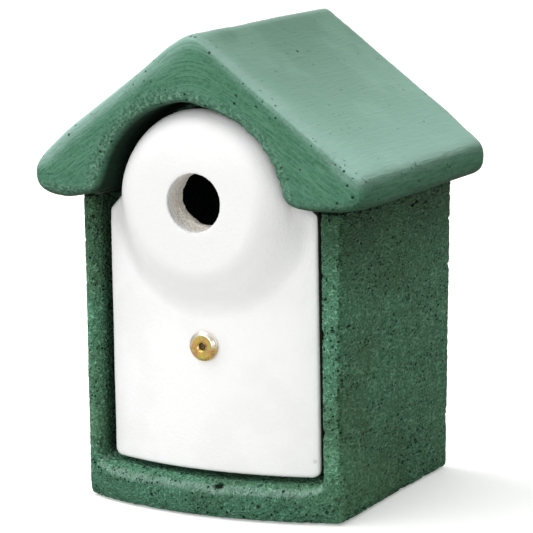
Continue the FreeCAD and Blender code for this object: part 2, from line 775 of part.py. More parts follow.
PARTS = [make_body_shell(), make_roof(), make_mortar_bed(), make_front_panel()]
PARTS += [make_latch_bolt(), make_latch_washer(), make_latch_spacer(), make_latch_bar()]
PARTS += [make_latch_spring_washer(), make_latch_lock_nut(), make_hanger_plate()]
for side in ("left", "right"):
    PARTS += [make_hanger_screw(side), make_hanger_plug(side)]

# Every feature has to be sound before any file is written

doc.recompute()
for item in doc.Objects:
    if "Invalid" in item.State or "Error" in item.State:
        raise RuntimeError(f"{item.Label} failed: {item.State}")
for part in PARTS:
    if part.Shape.isNull() or not part.Shape.isValid():
        raise RuntimeError(f"{part.Label} has no valid shape")

os.makedirs("parts", exist_ok=True)
for part in PARTS:
    part.Shape.exportStep(f"parts/{part.Label}.step")
    box = part.Shape.optimalBoundingBox(True, False)
    lows = [round(low, 2) for low in (box.XMin, box.YMin, box.ZMin)]
    highs = [round(high, 2) for high in (box.XMax, box.YMax, box.ZMax)]
    print(part.Label, len(part.Shape.Solids), round(part.Shape.Volume / 1000, 2), "cm3", lows, highs)
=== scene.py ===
# %% [markdown]
# # A woodcrete nest box
# Two green castings of sawdust and cement make the walls and the roof. A white front lifts out of the
# opening, a bolt through it turns a bar behind the walls, and a keyhole plate at the back hangs the box
# on a screw. The construction model gives every piece its size and place. This lesson gives each piece
# the surface that it has on the real box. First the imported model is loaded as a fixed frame.

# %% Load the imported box
import json
import math

import bmesh
import bpy
from mathutils import Matrix, Vector, noise


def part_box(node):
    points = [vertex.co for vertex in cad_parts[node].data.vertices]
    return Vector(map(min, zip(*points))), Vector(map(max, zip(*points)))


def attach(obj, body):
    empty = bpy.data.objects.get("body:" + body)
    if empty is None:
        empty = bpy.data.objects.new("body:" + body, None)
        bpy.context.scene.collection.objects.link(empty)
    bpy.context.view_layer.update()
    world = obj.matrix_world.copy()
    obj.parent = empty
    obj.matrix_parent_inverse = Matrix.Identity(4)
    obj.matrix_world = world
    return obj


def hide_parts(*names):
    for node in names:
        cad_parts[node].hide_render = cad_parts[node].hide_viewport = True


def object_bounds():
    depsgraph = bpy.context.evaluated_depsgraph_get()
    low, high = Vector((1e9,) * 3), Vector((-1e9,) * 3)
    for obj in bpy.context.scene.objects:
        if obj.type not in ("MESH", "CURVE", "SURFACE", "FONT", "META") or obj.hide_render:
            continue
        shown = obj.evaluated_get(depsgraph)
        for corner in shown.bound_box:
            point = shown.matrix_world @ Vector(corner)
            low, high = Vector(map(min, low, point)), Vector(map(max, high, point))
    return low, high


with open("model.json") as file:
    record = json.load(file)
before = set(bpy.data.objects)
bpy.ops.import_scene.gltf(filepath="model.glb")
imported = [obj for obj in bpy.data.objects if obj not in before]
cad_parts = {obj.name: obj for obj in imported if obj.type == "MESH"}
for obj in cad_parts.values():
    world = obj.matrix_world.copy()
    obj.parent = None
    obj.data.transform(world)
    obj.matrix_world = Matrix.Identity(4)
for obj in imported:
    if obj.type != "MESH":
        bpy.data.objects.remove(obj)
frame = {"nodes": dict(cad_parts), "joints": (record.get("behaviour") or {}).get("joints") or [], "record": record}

MM = 0.001
cad_box = [list(corner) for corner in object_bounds()]
size = [round((high - low) / MM, 1) for low, high in zip(*cad_box)]
print("loaded", len(frame["nodes"]), "nodes, overall size in mm", size)

# %% [markdown]
# ## Soft steps
# Most shapes and paints below start somewhere and end somewhere else, softly. A span is a pair of
# places, and two small functions rise or fall between them.

# %% Soft steps
def mm(*lengths):
    """Lengths in millimetres, as metres."""
    return tuple(length * MM for length in lengths)


def share_of(value, start, end):
    """0 before start, 1 after end, and even between them."""
    return min(max((value - start) / (end - start), 0.0), 1.0)


def step(value, start, end):
    """0 before start, 1 after end, and a soft step between them."""
    share = share_of(value, start, end)
    return share * share * (3.0 - 2.0 * share)


def fall(value, start, end):
    """1 before start, 0 after end, and a soft step between them."""
    return 1.0 - step(value, start, end)


print("half way up a soft step", step(0.5, 0.0, 1.0))

# %% [markdown]
# ## Places on the box
# Nothing is measured twice: the edges of the castings come from the boxes of their nodes, the axis of
# the entrance from the opening that the record states, and the axis of the bolt from its joint. The
# white front and the sill below it bow forward. Two looks at each solid, from the front, one in the
# middle and one far out, give the circle of its bow.

# %% Places on the box
BOSS_RADIUS = 52.0
PANEL_HALF = 64.5

openings = {item["name"]: item["box_m"] for item in frame["record"]["physics"]["openings"]}
joints = {joint["name"]: joint for joint in frame["joints"]}
body_low, body_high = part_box("body_shell")
roof_low, roof_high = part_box("roof")
panel_low, panel_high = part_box("front_panel")
bolt_low, bolt_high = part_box("latch_bolt")
nut_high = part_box("latch_lock_nut")[1]
entrance_low, entrance_high = (Vector(corner) for corner in openings["entrance_hole"])
chamber_low, chamber_high = (Vector(corner) for corner in openings["nest_chamber"])
entrance = (entrance_low + entrance_high) / 2
bolt_axis = Vector(joints["latch_turn"]["pos_m"])
boss_middle = panel_high.z - panel_high.x * BOSS_RADIUS / PANEL_HALF
boss_front = panel_low.y
far_out = 0.9 * panel_high.x


def front_face(node, x, z):
    """How far forward a solid comes at a place, seen from the front."""
    solid = frame["nodes"][node]
    found, where, normal, face = solid.ray_cast(Vector((x, -1.0, z)), Vector((0.0, 1.0, 0.0)))
    return where.y


def bow_of(node, z):
    """Foremost place and radius of a bowed front at a height."""
    foremost = front_face(node, 0.0, z)
    sag = front_face(node, far_out, z) - foremost
    return foremost, (far_out ** 2 + sag ** 2) / (2.0 * sag)


def bowed(front, radius, x):
    """Place of a bowed front to the side of its middle."""
    return front + radius - math.sqrt(radius ** 2 - x ** 2)


bow_front, bow_radius = bow_of("front_panel", (panel_low.z + bolt_axis.z) / 2)
sill_front, sill_radius = bow_of("body_shell", panel_low.z * 0.4)


def bow(x):
    """Place of the plain white front, away from the boss."""
    return bowed(bow_front, bow_radius, min(abs(x), panel_high.x))


print("entrance at height", round(entrance.z / MM, 1), "and bolt at height", round(bolt_axis.z / MM, 1))
print("front bows on a radius of", round(bow_radius / MM), "and the sill on", round(sill_radius / MM))
print("boss stands out by", round((bow_front - boss_front) / MM, 1))

# %% [markdown]
# ## Camera
# The photograph was taken from the right of the front and a little above it, through a long lens. The
# angles and the distance come from fitting the edges of the box to the picture, so the same camera is
# set up here by its azimuth, elevation, roll and distance from the point that it looks at.

# %% Camera
AZIMUTH = math.radians(26.968)
ELEVATION = math.radians(10.341)
ROLL = math.radians(-0.248)
DISTANCE = 1.7128
LOOK_AT = Vector((0.0038, -0.0019, 0.1280))
SENSOR = 36.0
LENS = 204.14

backward = Vector((
    math.sin(AZIMUTH) * math.cos(ELEVATION),
    -math.cos(AZIMUTH) * math.cos(ELEVATION),
    math.sin(ELEVATION),
))
level = Vector((math.cos(AZIMUTH), math.sin(AZIMUTH), 0.0))
upward = backward.cross(level)
rightward = level * math.cos(ROLL) + upward * math.sin(ROLL)
upward = backward.cross(rightward)
turn = Matrix((rightward, upward, backward)).transposed().to_4x4()

lens = bpy.data.cameras.new("camera")
lens.sensor_width = SENSOR
lens.lens = LENS
camera = bpy.data.objects.new("camera", lens)
camera.matrix_world = Matrix.Translation(LOOK_AT + backward * DISTANCE) @ turn
bpy.context.scene.collection.objects.link(camera)
bpy.context.scene.camera = camera
print("camera stands at", [round(value, 3) for value in camera.matrix_world.translation])

# %% [markdown]
# ## Short ways to wire nodes
# Geometry trees and material trees share most of their nodes, such as noise, cells and sums. Each sum
# could be added and linked by hand, but a paint has a hundred of them. So a value in a tree is wrapped
# as a term that adds and multiplies like a number, and each such sum adds its own node.

# %% Terms
class Term:
    """A single value in a node tree, which adds and multiplies like a number."""

    def __init__(self, wiring, socket):
        self.wiring = wiring
        self.socket = socket

    def __add__(self, other):
        return self.wiring.sum("ADD", self, other)

    def __sub__(self, other):
        return self.wiring.sum("SUBTRACT", self, other)

    def __rsub__(self, other):
        return self.wiring.sum("SUBTRACT", other, self)

    def __mul__(self, other):
        return self.wiring.sum("MULTIPLY", self, other)

    def __neg__(self):
        return self * -1.0


print("terms ready")

# %% [markdown]
# ## Wiring helper
# One helper wires both kinds of tree. It adds a node, and feeds each socket with a term, with another
# socket or with a plain value. A plain colour is given by its red, green and blue.

# %% Wiring helper
class Wiring:
    """A node tree with short ways to add and feed its nodes."""

    def __init__(self, tree):
        self.tree = tree

    def feed(self, socket, term):
        if isinstance(term, Term):
            term = term.socket
        if isinstance(term, bpy.types.NodeSocket):
            self.tree.links.new(term, socket)
        else:
            socket.default_value = (*term, 1.0) if socket.type == "RGBA" else term

    def add(self, kind, settings=None, terms=None):
        node = self.tree.nodes.new(kind)
        for key, value in (settings or {}).items():
            setattr(node, key, value)
        for name, term in (terms or {}).items():
            self.feed(node.inputs[name], term)
        return node

    def take(self, output, kind, settings=None, terms=None):
        """Add a node and take one of its outputs."""
        return Term(self, self.add(kind, settings, terms).outputs[output])

    def sum(self, operation, *terms):
        return self.take(0, "ShaderNodeMath", {"operation": operation}, dict(enumerate(terms)))

    def most(self, first, second):
        return self.sum("MAXIMUM", first, second)

    def vector(self, operation, *terms):
        output = "Value" if operation in ("DOT_PRODUCT", "LENGTH") else "Vector"
        return self.take(output, "ShaderNodeVectorMath", {"operation": operation}, dict(enumerate(terms)))

    def parts(self, vector):
        node = self.add("ShaderNodeSeparateXYZ", None, {"Vector": vector})
        return [Term(self, socket) for socket in node.outputs]

    def joined(self, x, y, z):
        return self.take("Vector", "ShaderNodeCombineXYZ", None, {"X": x, "Y": y, "Z": z})

    def around(self, x, z):
        """Distance from an axis that runs from front to back."""
        return self.vector("LENGTH", self.joined(x, 0.0, z))

    def noise(self, where, size, detail=2.0):
        """Soft cloudy values from 0 to 1, with lumps of about the given size."""
        scale = self.sum("DIVIDE", 1.0, size)
        return self.take(0, "ShaderNodeTexNoise", None, {"Vector": where, "Scale": scale, "Detail": detail})

    def cells(self, where, scale):
        """Distance to the middle of the nearest cell, and a random value of that cell."""
        node = self.add("ShaderNodeTexVoronoi", None, {"Vector": where, "Scale": scale})
        draw = self.take("Value", "ShaderNodeTexWhiteNoise", None, {"Vector": node.outputs["Position"]})
        return node.outputs["Distance"], draw

    def rise(self, value, start, end):
        """0 before start, 1 after end, and a soft step between them. Start may be the higher one."""
        terms = {"Value": value, "From Min": start, "From Max": end}
        return self.take("Result", "ShaderNodeMapRange", {"interpolation_type": "SMOOTHSTEP"}, terms)

    def mixed(self, factor, first, second):
        """Mix of two values."""
        return self.take(0, "ShaderNodeMix", None, {0: factor, 2: first, 3: second})

    def blend(self, factor, first, second):
        """Mix of two colours."""
        return self.take(2, "ShaderNodeMix", {"data_type": "RGBA"}, {0: factor, 6: first, 7: second})

    def coats(self, colour, coats):
        """A colour under coats of paint, each with a mask, a strength and a colour of its own."""
        for mask, strength, paint in coats:
            colour = self.blend(mask * strength, colour, paint)
        return colour


def new_group(name, kind, inputs, outputs):
    """Empty node group with named sockets, each a name, a type and the value that it starts with."""
    tree = bpy.data.node_groups.new(name, kind)
    for label, sort, start in inputs:
        socket = tree.interface.new_socket(name=label, in_out="INPUT", socket_type="NodeSocket" + sort)
        if start is not None:
            socket.default_value = start
    for label, sort in outputs:
        tree.interface.new_socket(name=label, in_out="OUTPUT", socket_type="NodeSocket" + sort)
    wiring = Wiring(tree)
    entry = wiring.add("NodeGroupInput")
    given = {socket.name: Term(wiring, socket) for socket in entry.outputs if socket.name}
    return wiring, given, wiring.add("NodeGroupOutput").inputs


print("wiring helper ready")

# %% [markdown]
# ## Pits in the casting
# Air that stays in the mix leaves small round pits in the skin of a casting. Each pit could be cut by
# hand, but there are thousands of them. A cell texture in space does it by a rule: every cell holds one
# bubble of its own random size, and the skin cuts the bubbles where it meets them. The same group is
# made twice, for geometry and for materials, so that the paint puts its painted shade in the very pits
# that are cut.

# %% Pits group
PIT_FLOOR = 0.35
LEAST_GIRTH = 0.35
CLUSTERS = (0.36, 0.62)


def pits_group(kind):
    inputs = [("Position", "Vector", None), ("Spacing", "Float", 0.005), ("Reach", "Float", 0.3)]
    inputs += [("Share", "Float", 0.5), ("Cluster Size", "Float", 0.03)]
    wiring, given, result = new_group("pits " + kind, kind, inputs, [("Pit", "Float")])
    distance, draw = wiring.cells(given["Position"], wiring.sum("DIVIDE", 1.0, given["Spacing"]))
    cluster = wiring.rise(wiring.noise(given["Position"], given["Cluster Size"]), *CLUSTERS)
    chosen = wiring.sum("LESS_THAN", draw, given["Share"] * cluster)
    girth = wiring.sum("DIVIDE", draw, given["Share"]) * (1.0 - LEAST_GIRTH) + LEAST_GIRTH
    radius = girth * chosen * given["Reach"]
    pit = wiring.rise(distance, radius, radius * PIT_FLOOR)
    wiring.feed(result["Pit"], pit * chosen)
    return wiring.tree


geometry_pits = pits_group("GeometryNodeTree")
paint_pits = pits_group("ShaderNodeTree")
print("pit groups", geometry_pits.name, "and", paint_pits.name)

# %% [markdown]
# ## Plain meshes
# The solids of the frame stay as they are. A casting starts from a copy of its solid, whose loose
# triangles are joined. Modifiers then change the copy, and their result becomes a plain mesh again,
# because only plain meshes are kept.

# %% Copies and plain meshes
JOIN_WITHIN = 0.002 * MM


def merged_copy(node, name):
    """New object with a node's mesh, the corners of its triangles joined and its materials dropped."""
    mesh = frame["nodes"][node].data.copy()
    mesh.name = name
    mesh.materials.clear()
    if "custom_normal" in mesh.attributes:
        mesh.attributes.remove(mesh.attributes["custom_normal"])
    shape = bmesh.new()
    shape.from_mesh(mesh)
    bmesh.ops.remove_doubles(shape, verts=shape.verts, dist=JOIN_WITHIN)
    shape.to_mesh(mesh)
    shape.free()
    piece = bpy.data.objects.new(name, mesh)
    bpy.context.scene.collection.objects.link(piece)
    return piece


def settle(piece):
    """Make the result of the piece's modifiers its own plain mesh."""
    depsgraph = bpy.context.evaluated_depsgraph_get()
    result = bpy.data.meshes.new_from_object(piece.evaluated_get(depsgraph), depsgraph=depsgraph)
    old = piece.data
    piece.modifiers.clear()
    piece.data = result
    bpy.data.meshes.remove(old)


def triangles(piece):
    return sum(len(face.vertices) - 2 for face in piece.data.polygons)


def soften(piece, rounds, group=""):
    """Smooth the piece by some rounds, weighted by a vertex group if one is named."""
    modifier = piece.modifiers.new("soft edges", "SMOOTH")
    modifier.factor = 0.5
    modifier.iterations = rounds
    modifier.vertex_group = group
    settle(piece)


def even_mesh(piece, step_size, rounds):
    """Give the piece an even mesh of small faces, and soften its edges."""
    grid = piece.modifiers.new("even mesh", "REMESH")
    grid.mode = "VOXEL"
    grid.voxel_size = step_size
    grid.use_smooth_shade = True
    settle(piece)
    soften(piece, rounds)


def thin_out(piece, most):
    """Join the flattest faces until the piece has no more than so many triangles."""
    count = triangles(piece)
    if count > most:
        fewer = piece.modifiers.new("fewer faces", "DECIMATE")
        fewer.ratio = most / count
        settle(piece)


print("copy helpers ready")

# %% [markdown]
# ## Skin of a casting
# A woodcrete surface is never flat: it sags a little over long stretches, it is grainy at the size of
# the sawdust, and it is pitted. A displacement by hand-painted maps could do this, but a geometry tree
# does it by rule, with named sizes. All of it goes inwards, so no casting grows into its neighbour.
# Edges crumble and chip first, so the tree also finds the edges: a point that stands proud of the
# average of its neighbours is on an edge. It also finds the faces which look at the middle of the
# opening and lie behind its mouth, which the paint darkens as painted shade. Edges, that shade mask and
# the way that each face looks are kept as attributes, for the paint to use.

# %% Casting skin
SKIN_INPUTS = [
    ("Geometry", "Geometry", None), ("Material", "Material", None),
    ("Sag Size", "Float", 0.04), ("Sag Depth", "Float", 0.0004),
    ("Grain Size", "Float", 0.002), ("Grain Depth", "Float", 0.0003),
    ("Pit Spacing", "Float", 0.006), ("Pit Reach", "Float", 0.25), ("Pit Share", "Float", 0.5),
    ("Pit Depth", "Float", 0.0008), ("Edge Crumble", "Float", 1.0),
    ("Quiet Low", "Vector", None), ("Quiet High", "Vector", None),
    ("Shade Axis", "Vector", None), ("Shade Mouth", "Float", 1.0), ("Shade Bow", "Float", 0.0),
    ("Lie", "Vector", (1.0, 1.0, 1.0)), ("Chip Size", "Float", 0.007), ("Chip Depth", "Float", 0.0),
]
EDGE_ROUNDS = 14
EDGE_STAND = 0.00035
CHIP_STAND = (0.00003, 0.00016)
CHIP_CLOUD = (0.54, 0.64)
QUIET_SHARE = 0.9
QUIET_MARGIN = 0.002
LOOKS_IN = (0.1, 0.7)
MOUTH_DEPTH = 0.008


def stored(wiring, geometry, name, sort, value):
    """Keep a value on every point of the geometry under a name."""
    settings = {"data_type": sort, "domain": "POINT"}
    terms = {"Geometry": geometry, "Name": name, "Value": value}
    return wiring.take("Geometry", "GeometryNodeStoreNamedAttribute", settings, terms)


def end_tree(wiring, given, result, geometry):
    """End a geometry tree: make its result plain and give it the material."""
    whole = wiring.take("Geometry", "GeometryNodeRealizeInstances", None, {"Geometry": geometry})
    terms = {"Geometry": whole, "Material": given["Material"]}
    wiring.feed(result["Geometry"], wiring.take("Geometry", "GeometryNodeSetMaterial", None, terms))
    return wiring.tree


def skin_tree():
    outputs = [("Geometry", "Geometry")]
    wiring, given, result = new_group("casting skin", "GeometryNodeTree", SKIN_INPUTS, outputs)
    place = wiring.take(0, "GeometryNodeInputPosition")
    outward = wiring.take(0, "GeometryNodeInputNormal")
    terms = {"Value": place, "Iterations": EDGE_ROUNDS}
    average = wiring.take("Value", "GeometryNodeBlurAttribute", {"data_type": "FLOAT_VECTOR"}, terms)
    proud = wiring.vector("DOT_PRODUCT", wiring.vector("SUBTRACT", place, average), outward)
    edge = wiring.rise(proud, 0.0, EDGE_STAND)

    inward = wiring.vector("SUBTRACT", given["Shade Axis"], place)
    across = wiring.vector("NORMALIZE", wiring.vector("MULTIPLY", inward, (1.0, 0.0, 1.0)))
    towards = wiring.vector("DOT_PRODUCT", across, outward)
    x, y, z = wiring.parts(place)
    mouth = x * x * given["Shade Bow"] + given["Shade Mouth"]
    # faces that look into the opening behind its mouth: mask for painted shade
    inner_shade = wiring.rise(towards, *LOOKS_IN) * wiring.rise(y - mouth, 0.0, MOUTH_DEPTH)

    laid = wiring.vector("MULTIPLY", place, given["Lie"])
    terms = {name: given["Pit " + name] for name in ("Spacing", "Reach", "Share")}
    pits = wiring.take("Pit", "GeometryNodeGroup", {"node_tree": geometry_pits}, {"Position": laid, **terms})
    crumble = edge * given["Edge Crumble"] + 1.0
    chips = wiring.rise(wiring.noise(place, given["Chip Size"], 1.0), *CHIP_CLOUD)
    chips = chips * wiring.rise(proud, *CHIP_STAND)
    depth = wiring.noise(place, given["Sag Size"], 1.0) * given["Sag Depth"]
    depth = depth + wiring.noise(laid, given["Grain Size"], 2.0) * given["Grain Depth"] * crumble
    depth = pits * given["Pit Depth"] + depth
    depth = chips * given["Chip Depth"] + depth

    from_low = wiring.parts(wiring.vector("SUBTRACT", place, given["Quiet Low"]))
    from_high = wiring.parts(wiring.vector("SUBTRACT", given["Quiet High"], place))
    inside = 1.0
    for distance in (*from_low, *from_high):
        inside = wiring.rise(distance, -QUIET_MARGIN, 0.0) * inside
    depth = depth * (inside * -QUIET_SHARE + 1.0)

    geometry = stored(wiring, given["Geometry"], "edge", "FLOAT", edge)
    geometry = stored(wiring, geometry, "inner_shade", "FLOAT", inner_shade)
    geometry = stored(wiring, geometry, "facing", "FLOAT_VECTOR", outward)
    terms = {"Vector": outward, "Scale": -depth}
    offset = wiring.take("Vector", "ShaderNodeVectorMath", {"operation": "SCALE"}, terms)
    terms = {"Geometry": geometry, "Offset": offset}
    sunk = wiring.take("Geometry", "GeometryNodeSetPosition", None, terms)
    return end_tree(wiring, given, result, sunk)


casting_skin = skin_tree()
print("skin tree has", len(casting_skin.nodes), "nodes")

# %% [markdown]
# ## Casting
# Every casting goes the same way: a copy of its solid on an even mesh, its own changes of shape, the
# skin, and then fewer faces where it is flat. Its skin takes the size of its pits from the same values
# as its paint does.

# %% Casting
def add_tree(piece, tree, values):
    """Add a geometry tree to a piece, and set its inputs by their names."""
    modifier = piece.modifiers.new(tree.name, "NODES")
    modifier.node_group = tree
    for item in tree.interface.items_tree:
        if item.item_type == "SOCKET" and item.in_out == "INPUT" and item.name in values:
            modifier[item.identifier] = values[item.name]


def pit_inputs(pits):
    """The values of pits in a paint, named as the inputs of the skin."""
    return {"Pit " + name: value for name, value in pits.items()}


def cast(node, name, reshape, step_size, rounds, most, values):
    """Make the visible casting of a node: even mesh, own shape, skin, and a limited number of faces."""
    piece = merged_copy(node, name)
    even_mesh(piece, step_size, rounds)
    reshape(piece)
    add_tree(piece, casting_skin, values)
    settle(piece)
    thin_out(piece, most)
    piece.data.shade_smooth()
    print(name, "has", triangles(piece), "triangles")
    return piece


print("ready to cast")

# %% [markdown]
# ## Effects that several finishes share
# Blotches are large soft areas where a colour shifts, as where paint is thinner or a wall is damp.
# Grain is the fine roughness of sawdust under paint. Both are made once, as groups with named inputs,
# and every finish places them with its own values.

# %% Blotches and grain
COARSER = 3.1
COARSE_SHARE = 0.2
FINE_SHARE = 0.8
GRAIN_CLOUD = (0.34, 0.66)


def blotches_group():
    inputs = [("Position", "Vector", None), ("Size", "Float", 0.04)]
    inputs += [("Start", "Float", 0.45), ("End", "Float", 0.65)]
    wiring, given, result = new_group("blotches", "ShaderNodeTree", inputs, [("Mask", "Float")])
    cloud = wiring.noise(given["Position"], given["Size"], 3.0)
    wiring.feed(result["Mask"], wiring.rise(cloud, given["Start"], given["End"]))
    return wiring.tree


def grain_group():
    inputs = [("Position", "Vector", None), ("Size", "Float", 0.001)]
    wiring, given, result = new_group("grain", "ShaderNodeTree", inputs, [("Grain", "Float")])
    fine = wiring.noise(given["Position"], given["Size"], 2.0)
    coarse = wiring.noise(given["Position"], given["Size"] * COARSER, 1.0)
    both = coarse * COARSE_SHARE + fine * FINE_SHARE
    wiring.feed(result["Grain"], wiring.rise(both, *GRAIN_CLOUD))
    return wiring.tree


blotches = blotches_group()
grain = grain_group()
print("shared effects", blotches.name, "and", grain.name)

# %% [markdown]
# ## Start of a finish
# Every finish starts from the plain shader and the place on the piece, puts shared effects where it
# needs them, reads what the skin has kept, and ends with a bump.

# %% Start of a finish
def placed(wiring, group, where, **terms):
    """A shared effect placed in a material, fed by terms named as its inputs."""
    named = {name.replace("_", " "): term for name, term in terms.items()}
    return wiring.take(0, "ShaderNodeGroup", {"node_tree": group}, {"Position": where, **named})


def kept(wiring, name, output="Fac"):
    """Value that a geometry tree has kept on the piece under a name."""
    return wiring.take(output, "ShaderNodeAttribute", {"attribute_name": name})


def new_material(name):
    """New material: its wiring, the sockets of its shader and the place on the piece."""
    material = bpy.data.materials.new(name)
    material.use_nodes = True
    wiring = Wiring(material.node_tree)
    shader = material.node_tree.nodes["Principled BSDF"]
    return material, wiring, shader.inputs, wiring.take("Object", "ShaderNodeTexCoord")


def bumped(wiring, sockets, height, distance):
    terms = {"Height": height, "Distance": distance, "Strength": 1.0}
    wiring.feed(sockets["Normal"], wiring.take("Normal", "ShaderNodeBump", None, terms))


print("ready to paint")

# %% [markdown]
# ## Rough green walls
# The walls are painted with a thin matt green that sinks into the grain. The pits are painted near black
# as shade, pale flecks on the tops of the grain are painted highlights, and here and there the brown of the
# mix shows through. The sides are painted darker and speckled as shade, the wall is painted darker towards
# the eaves as their shadow, the front is darker towards the foot of the sill, and a pale band on the rolled
# nose of the sill is a painted highlight. Where the wall was pressed against a smooth mould it is calmer.
# The broken dent in the nose and the faces inside the opening behind its mouth are painted near black as
# shade.

# %% Wall paint
WALL_PITS = {"Spacing": 0.0046, "Reach": 0.36, "Share": 0.75}
SMALL_PITS = {"Spacing": 0.0020, "Reach": 0.54, "Share": 1.4, "Cluster_Size": 0.012}
GLINT_FLECKS = {"Spacing": 0.0026, "Reach": 0.34, "Cluster_Size": 0.02}
LIE = (1.0, 0.45, 1.0)
SHADE_SPECKLE_SHIFT = (0.13, 0.29, 0.37)
DENT = Vector((0.0107, -0.0778, 0.0172))
FOOT_DARK_HEIGHTS = (0.034, 0.012)
EAVE_SHADOW_HEIGHTS = (0.110, 0.172)
NOSE_HIGHLIGHT_DEPTHS = (-0.050, -0.060)
DENT_DEPTHS = (-0.066, -0.072)
DENT_REACH = (0.0018, 0.0006)


def wall_paint():
    material, wiring, sockets, place = new_material("wall_paint")
    edge = kept(wiring, "edge")
    inner_shade = kept(wiring, "inner_shade")
    facing = wiring.parts(kept(wiring, "facing", "Vector"))
    x, y, z = wiring.parts(place)
    laid = wiring.vector("MULTIPLY", place, LIE)
    moved = wiring.vector("ADD", place, SHADE_SPECKLE_SHIFT)
    lumps = placed(wiring, grain, laid, Size=0.0013)
    shade_speckle = placed(wiring, grain, moved, Size=0.0014)
    olive = placed(wiring, blotches, place, Size=0.05)
    calm = placed(wiring, blotches, place, Size=0.06, Start=0.52, End=0.68)
    large = placed(wiring, paint_pits, laid, Cluster_Size=0.03, **WALL_PITS)
    small = placed(wiring, paint_pits, laid, **SMALL_PITS)
    # pale flecks on the tops of the grain: painted highlights
    glint_flecks = placed(wiring, paint_pits, laid, Share=edge * 0.5 + 0.4, **GLINT_FLECKS)
    # front faces darker towards the foot of the sill
    darker_low = wiring.rise(z, *FOOT_DARK_HEIGHTS) * wiring.rise(-facing[1], 0.3, 0.8)
    side = wiring.rise(wiring.sum("ABSOLUTE", facing[0]), 0.6, 0.95)
    nose = wiring.rise(facing[2], 0.36, 0.62) * wiring.rise(facing[2], 0.97, 0.82)
    still = calm * -0.5 + 1.0
    # pits painted near black: painted shade
    pit_shade = wiring.most(large * 0.97, small * 0.92) * still
    from_dent = wiring.around((x - DENT.x) * 0.45, z - DENT.z)
    # inside of the broken dent painted near black: painted shade
    dent_shade = wiring.rise(from_dent, *DENT_REACH) * wiring.rise(y, *DENT_DEPTHS)
    level = wiring.rise(facing[2], 0.5, 0.9)
    colour = wiring.blend(lumps, (0.086, 0.252, 0.152), (0.204, 0.479, 0.311))
    colour = wiring.coats(colour, [
        (olive, 0.35, (0.088, 0.134, 0.060)),
        (darker_low, 0.48, (0.040, 0.120, 0.074)),
        # side faces painted darker and speckled: painted shade
        (side * (shade_speckle * 0.50 + 0.06), 1.0, (0.040, 0.100, 0.040)),
        # pale band on the rolled nose of the sill: painted highlight
        (nose * wiring.rise(y, *NOSE_HIGHLIGHT_DEPTHS), 0.6, (0.340, 0.540, 0.440)),
        # wall painted darker towards the eaves: painted shadow of the eaves
        (wiring.rise(z, *EAVE_SHADOW_HEIGHTS), 0.72, (0.036, 0.070, 0.030)),
        (glint_flecks, 0.45, (0.240, 0.380, 0.280)),
        (pit_shade, 1.0, (0.005, 0.013, 0.008)),
        (dent_shade, 1.0, (0.008, 0.022, 0.013)),
        # faces inside the opening behind its mouth painted near black: painted shade
        (inner_shade * (level * -0.4 + 0.66), 1.0, (0.012, 0.032, 0.018)),
    ])
    wiring.feed(sockets["Base Color"], colour)
    wiring.feed(sockets["Roughness"], lumps * -0.2 + 0.8)
    sockets["Specular IOR Level"].default_value = 0.08
    height = glint_flecks * 0.6 + (lumps * still - pit_shade * 1.6)
    bumped(wiring, sockets, height, 0.0018)
    return material


wall_green = wall_paint()
print("made", wall_green.name)

# %% [markdown]
# ## Walls
# The walls lean in by a little towards the base, because a casting needs draft to leave its mould. The
# sides of the opening lean to the left by about a degree, as a mould made by hand may do. The left front
# corner is worn round, the right one is sharper than the solid and flares a little at the base. The nose
# of the sill is rolled over, and a lump has broken out of it. All this could go into the solid, but it
# is wear and handwork, uneven from side to side, so the points of the copy are moved by small rules.

# %% Corners and nose of the walls
OPENING_LEAN = mm(0.5, 2.2)
CORNER_ROUND = 8.0 * MM
CORNER_POWER = 3.6
NOSE_ROUND = 11.0 * MM
NOSE_ABOVE = 3.0 * MM
NOSE_SIDES = mm(58.0, 68.0)


def lean(z, amounts):
    """How far a side stands to the left at a height, between the foot and the boss."""
    return amounts[0] + (amounts[1] - amounts[0]) * share_of(z, panel_low.z, boss_middle)


def rolled(place, sill_top):
    """Place of a point once the front edge of the sill is rolled over a large radius."""
    x, y, z = place
    behind = y - bowed(sill_front, sill_radius, x)
    below = sill_top - z
    if behind > NOSE_ROUND or not -NOSE_ABOVE < below < NOSE_ROUND:
        return y, z
    away = Vector((NOSE_ROUND - behind, NOSE_ROUND - below))
    over = max(away.length - NOSE_ROUND, 0.0) * fall(abs(x), *NOSE_SIDES)
    return y + away[0] * over / away.length, z - away[1] * over / away.length


def squared(x, y):
    """Place of a point once the right front corner is made sharper."""
    middle_x = body_high.x - CORNER_ROUND
    middle_y = bowed(sill_front, sill_radius, middle_x) + CORNER_ROUND
    aside = x - middle_x
    ahead = middle_y - y
    if aside <= 0.0 or ahead <= 0.0:
        return x, y
    away = math.hypot(aside, ahead)
    spread = (aside / away) ** CORNER_POWER + (ahead / away) ** CORNER_POWER
    factor = spread ** (-1.0 / CORNER_POWER)
    return middle_x + aside * factor, middle_y - ahead * factor


print("nose of the sill rolls on a radius of", round(NOSE_ROUND / MM, 1))

# %% [markdown]
# ## Shape of the walls
# The even mesh is fine enough for the larger pits, and the inside of the chamber stays quieter.

# %% Walls
DRAFT = 2.0 * MM
POST = 12.5 * MM
WORN_SMOOTHING = 40
SOFT_CORNER = {"left": 0.6, "right": 0.15}
CORNER_SIDES = mm(68.0, 76.0)
OPENING_DEPTHS = (panel_high.y - 9.0 * MM, panel_high.y)
BASE_FLARE = 2.4 * MM
FLARE_HEIGHTS = mm(0.0, 80.0)
FLARE_DEPTHS = mm(-50.0, 30.0)
NOSE_RISE = mm(8.0, 13.0)
NOSE_FALL = mm(26.0, 30.0)
ROOF_HEIGHTS = (boss_middle - 22.0 * MM, boss_middle - 8.0 * MM)
DENT_DEPTH = 1.8 * MM
DENT_EDGE = mm(0.8, 3.4)
DENT_STRETCH = 0.6
LEDGE_AHEAD = 3.0 * MM
OPENING_AXIS = Vector((0.0, 0.0, 0.098))


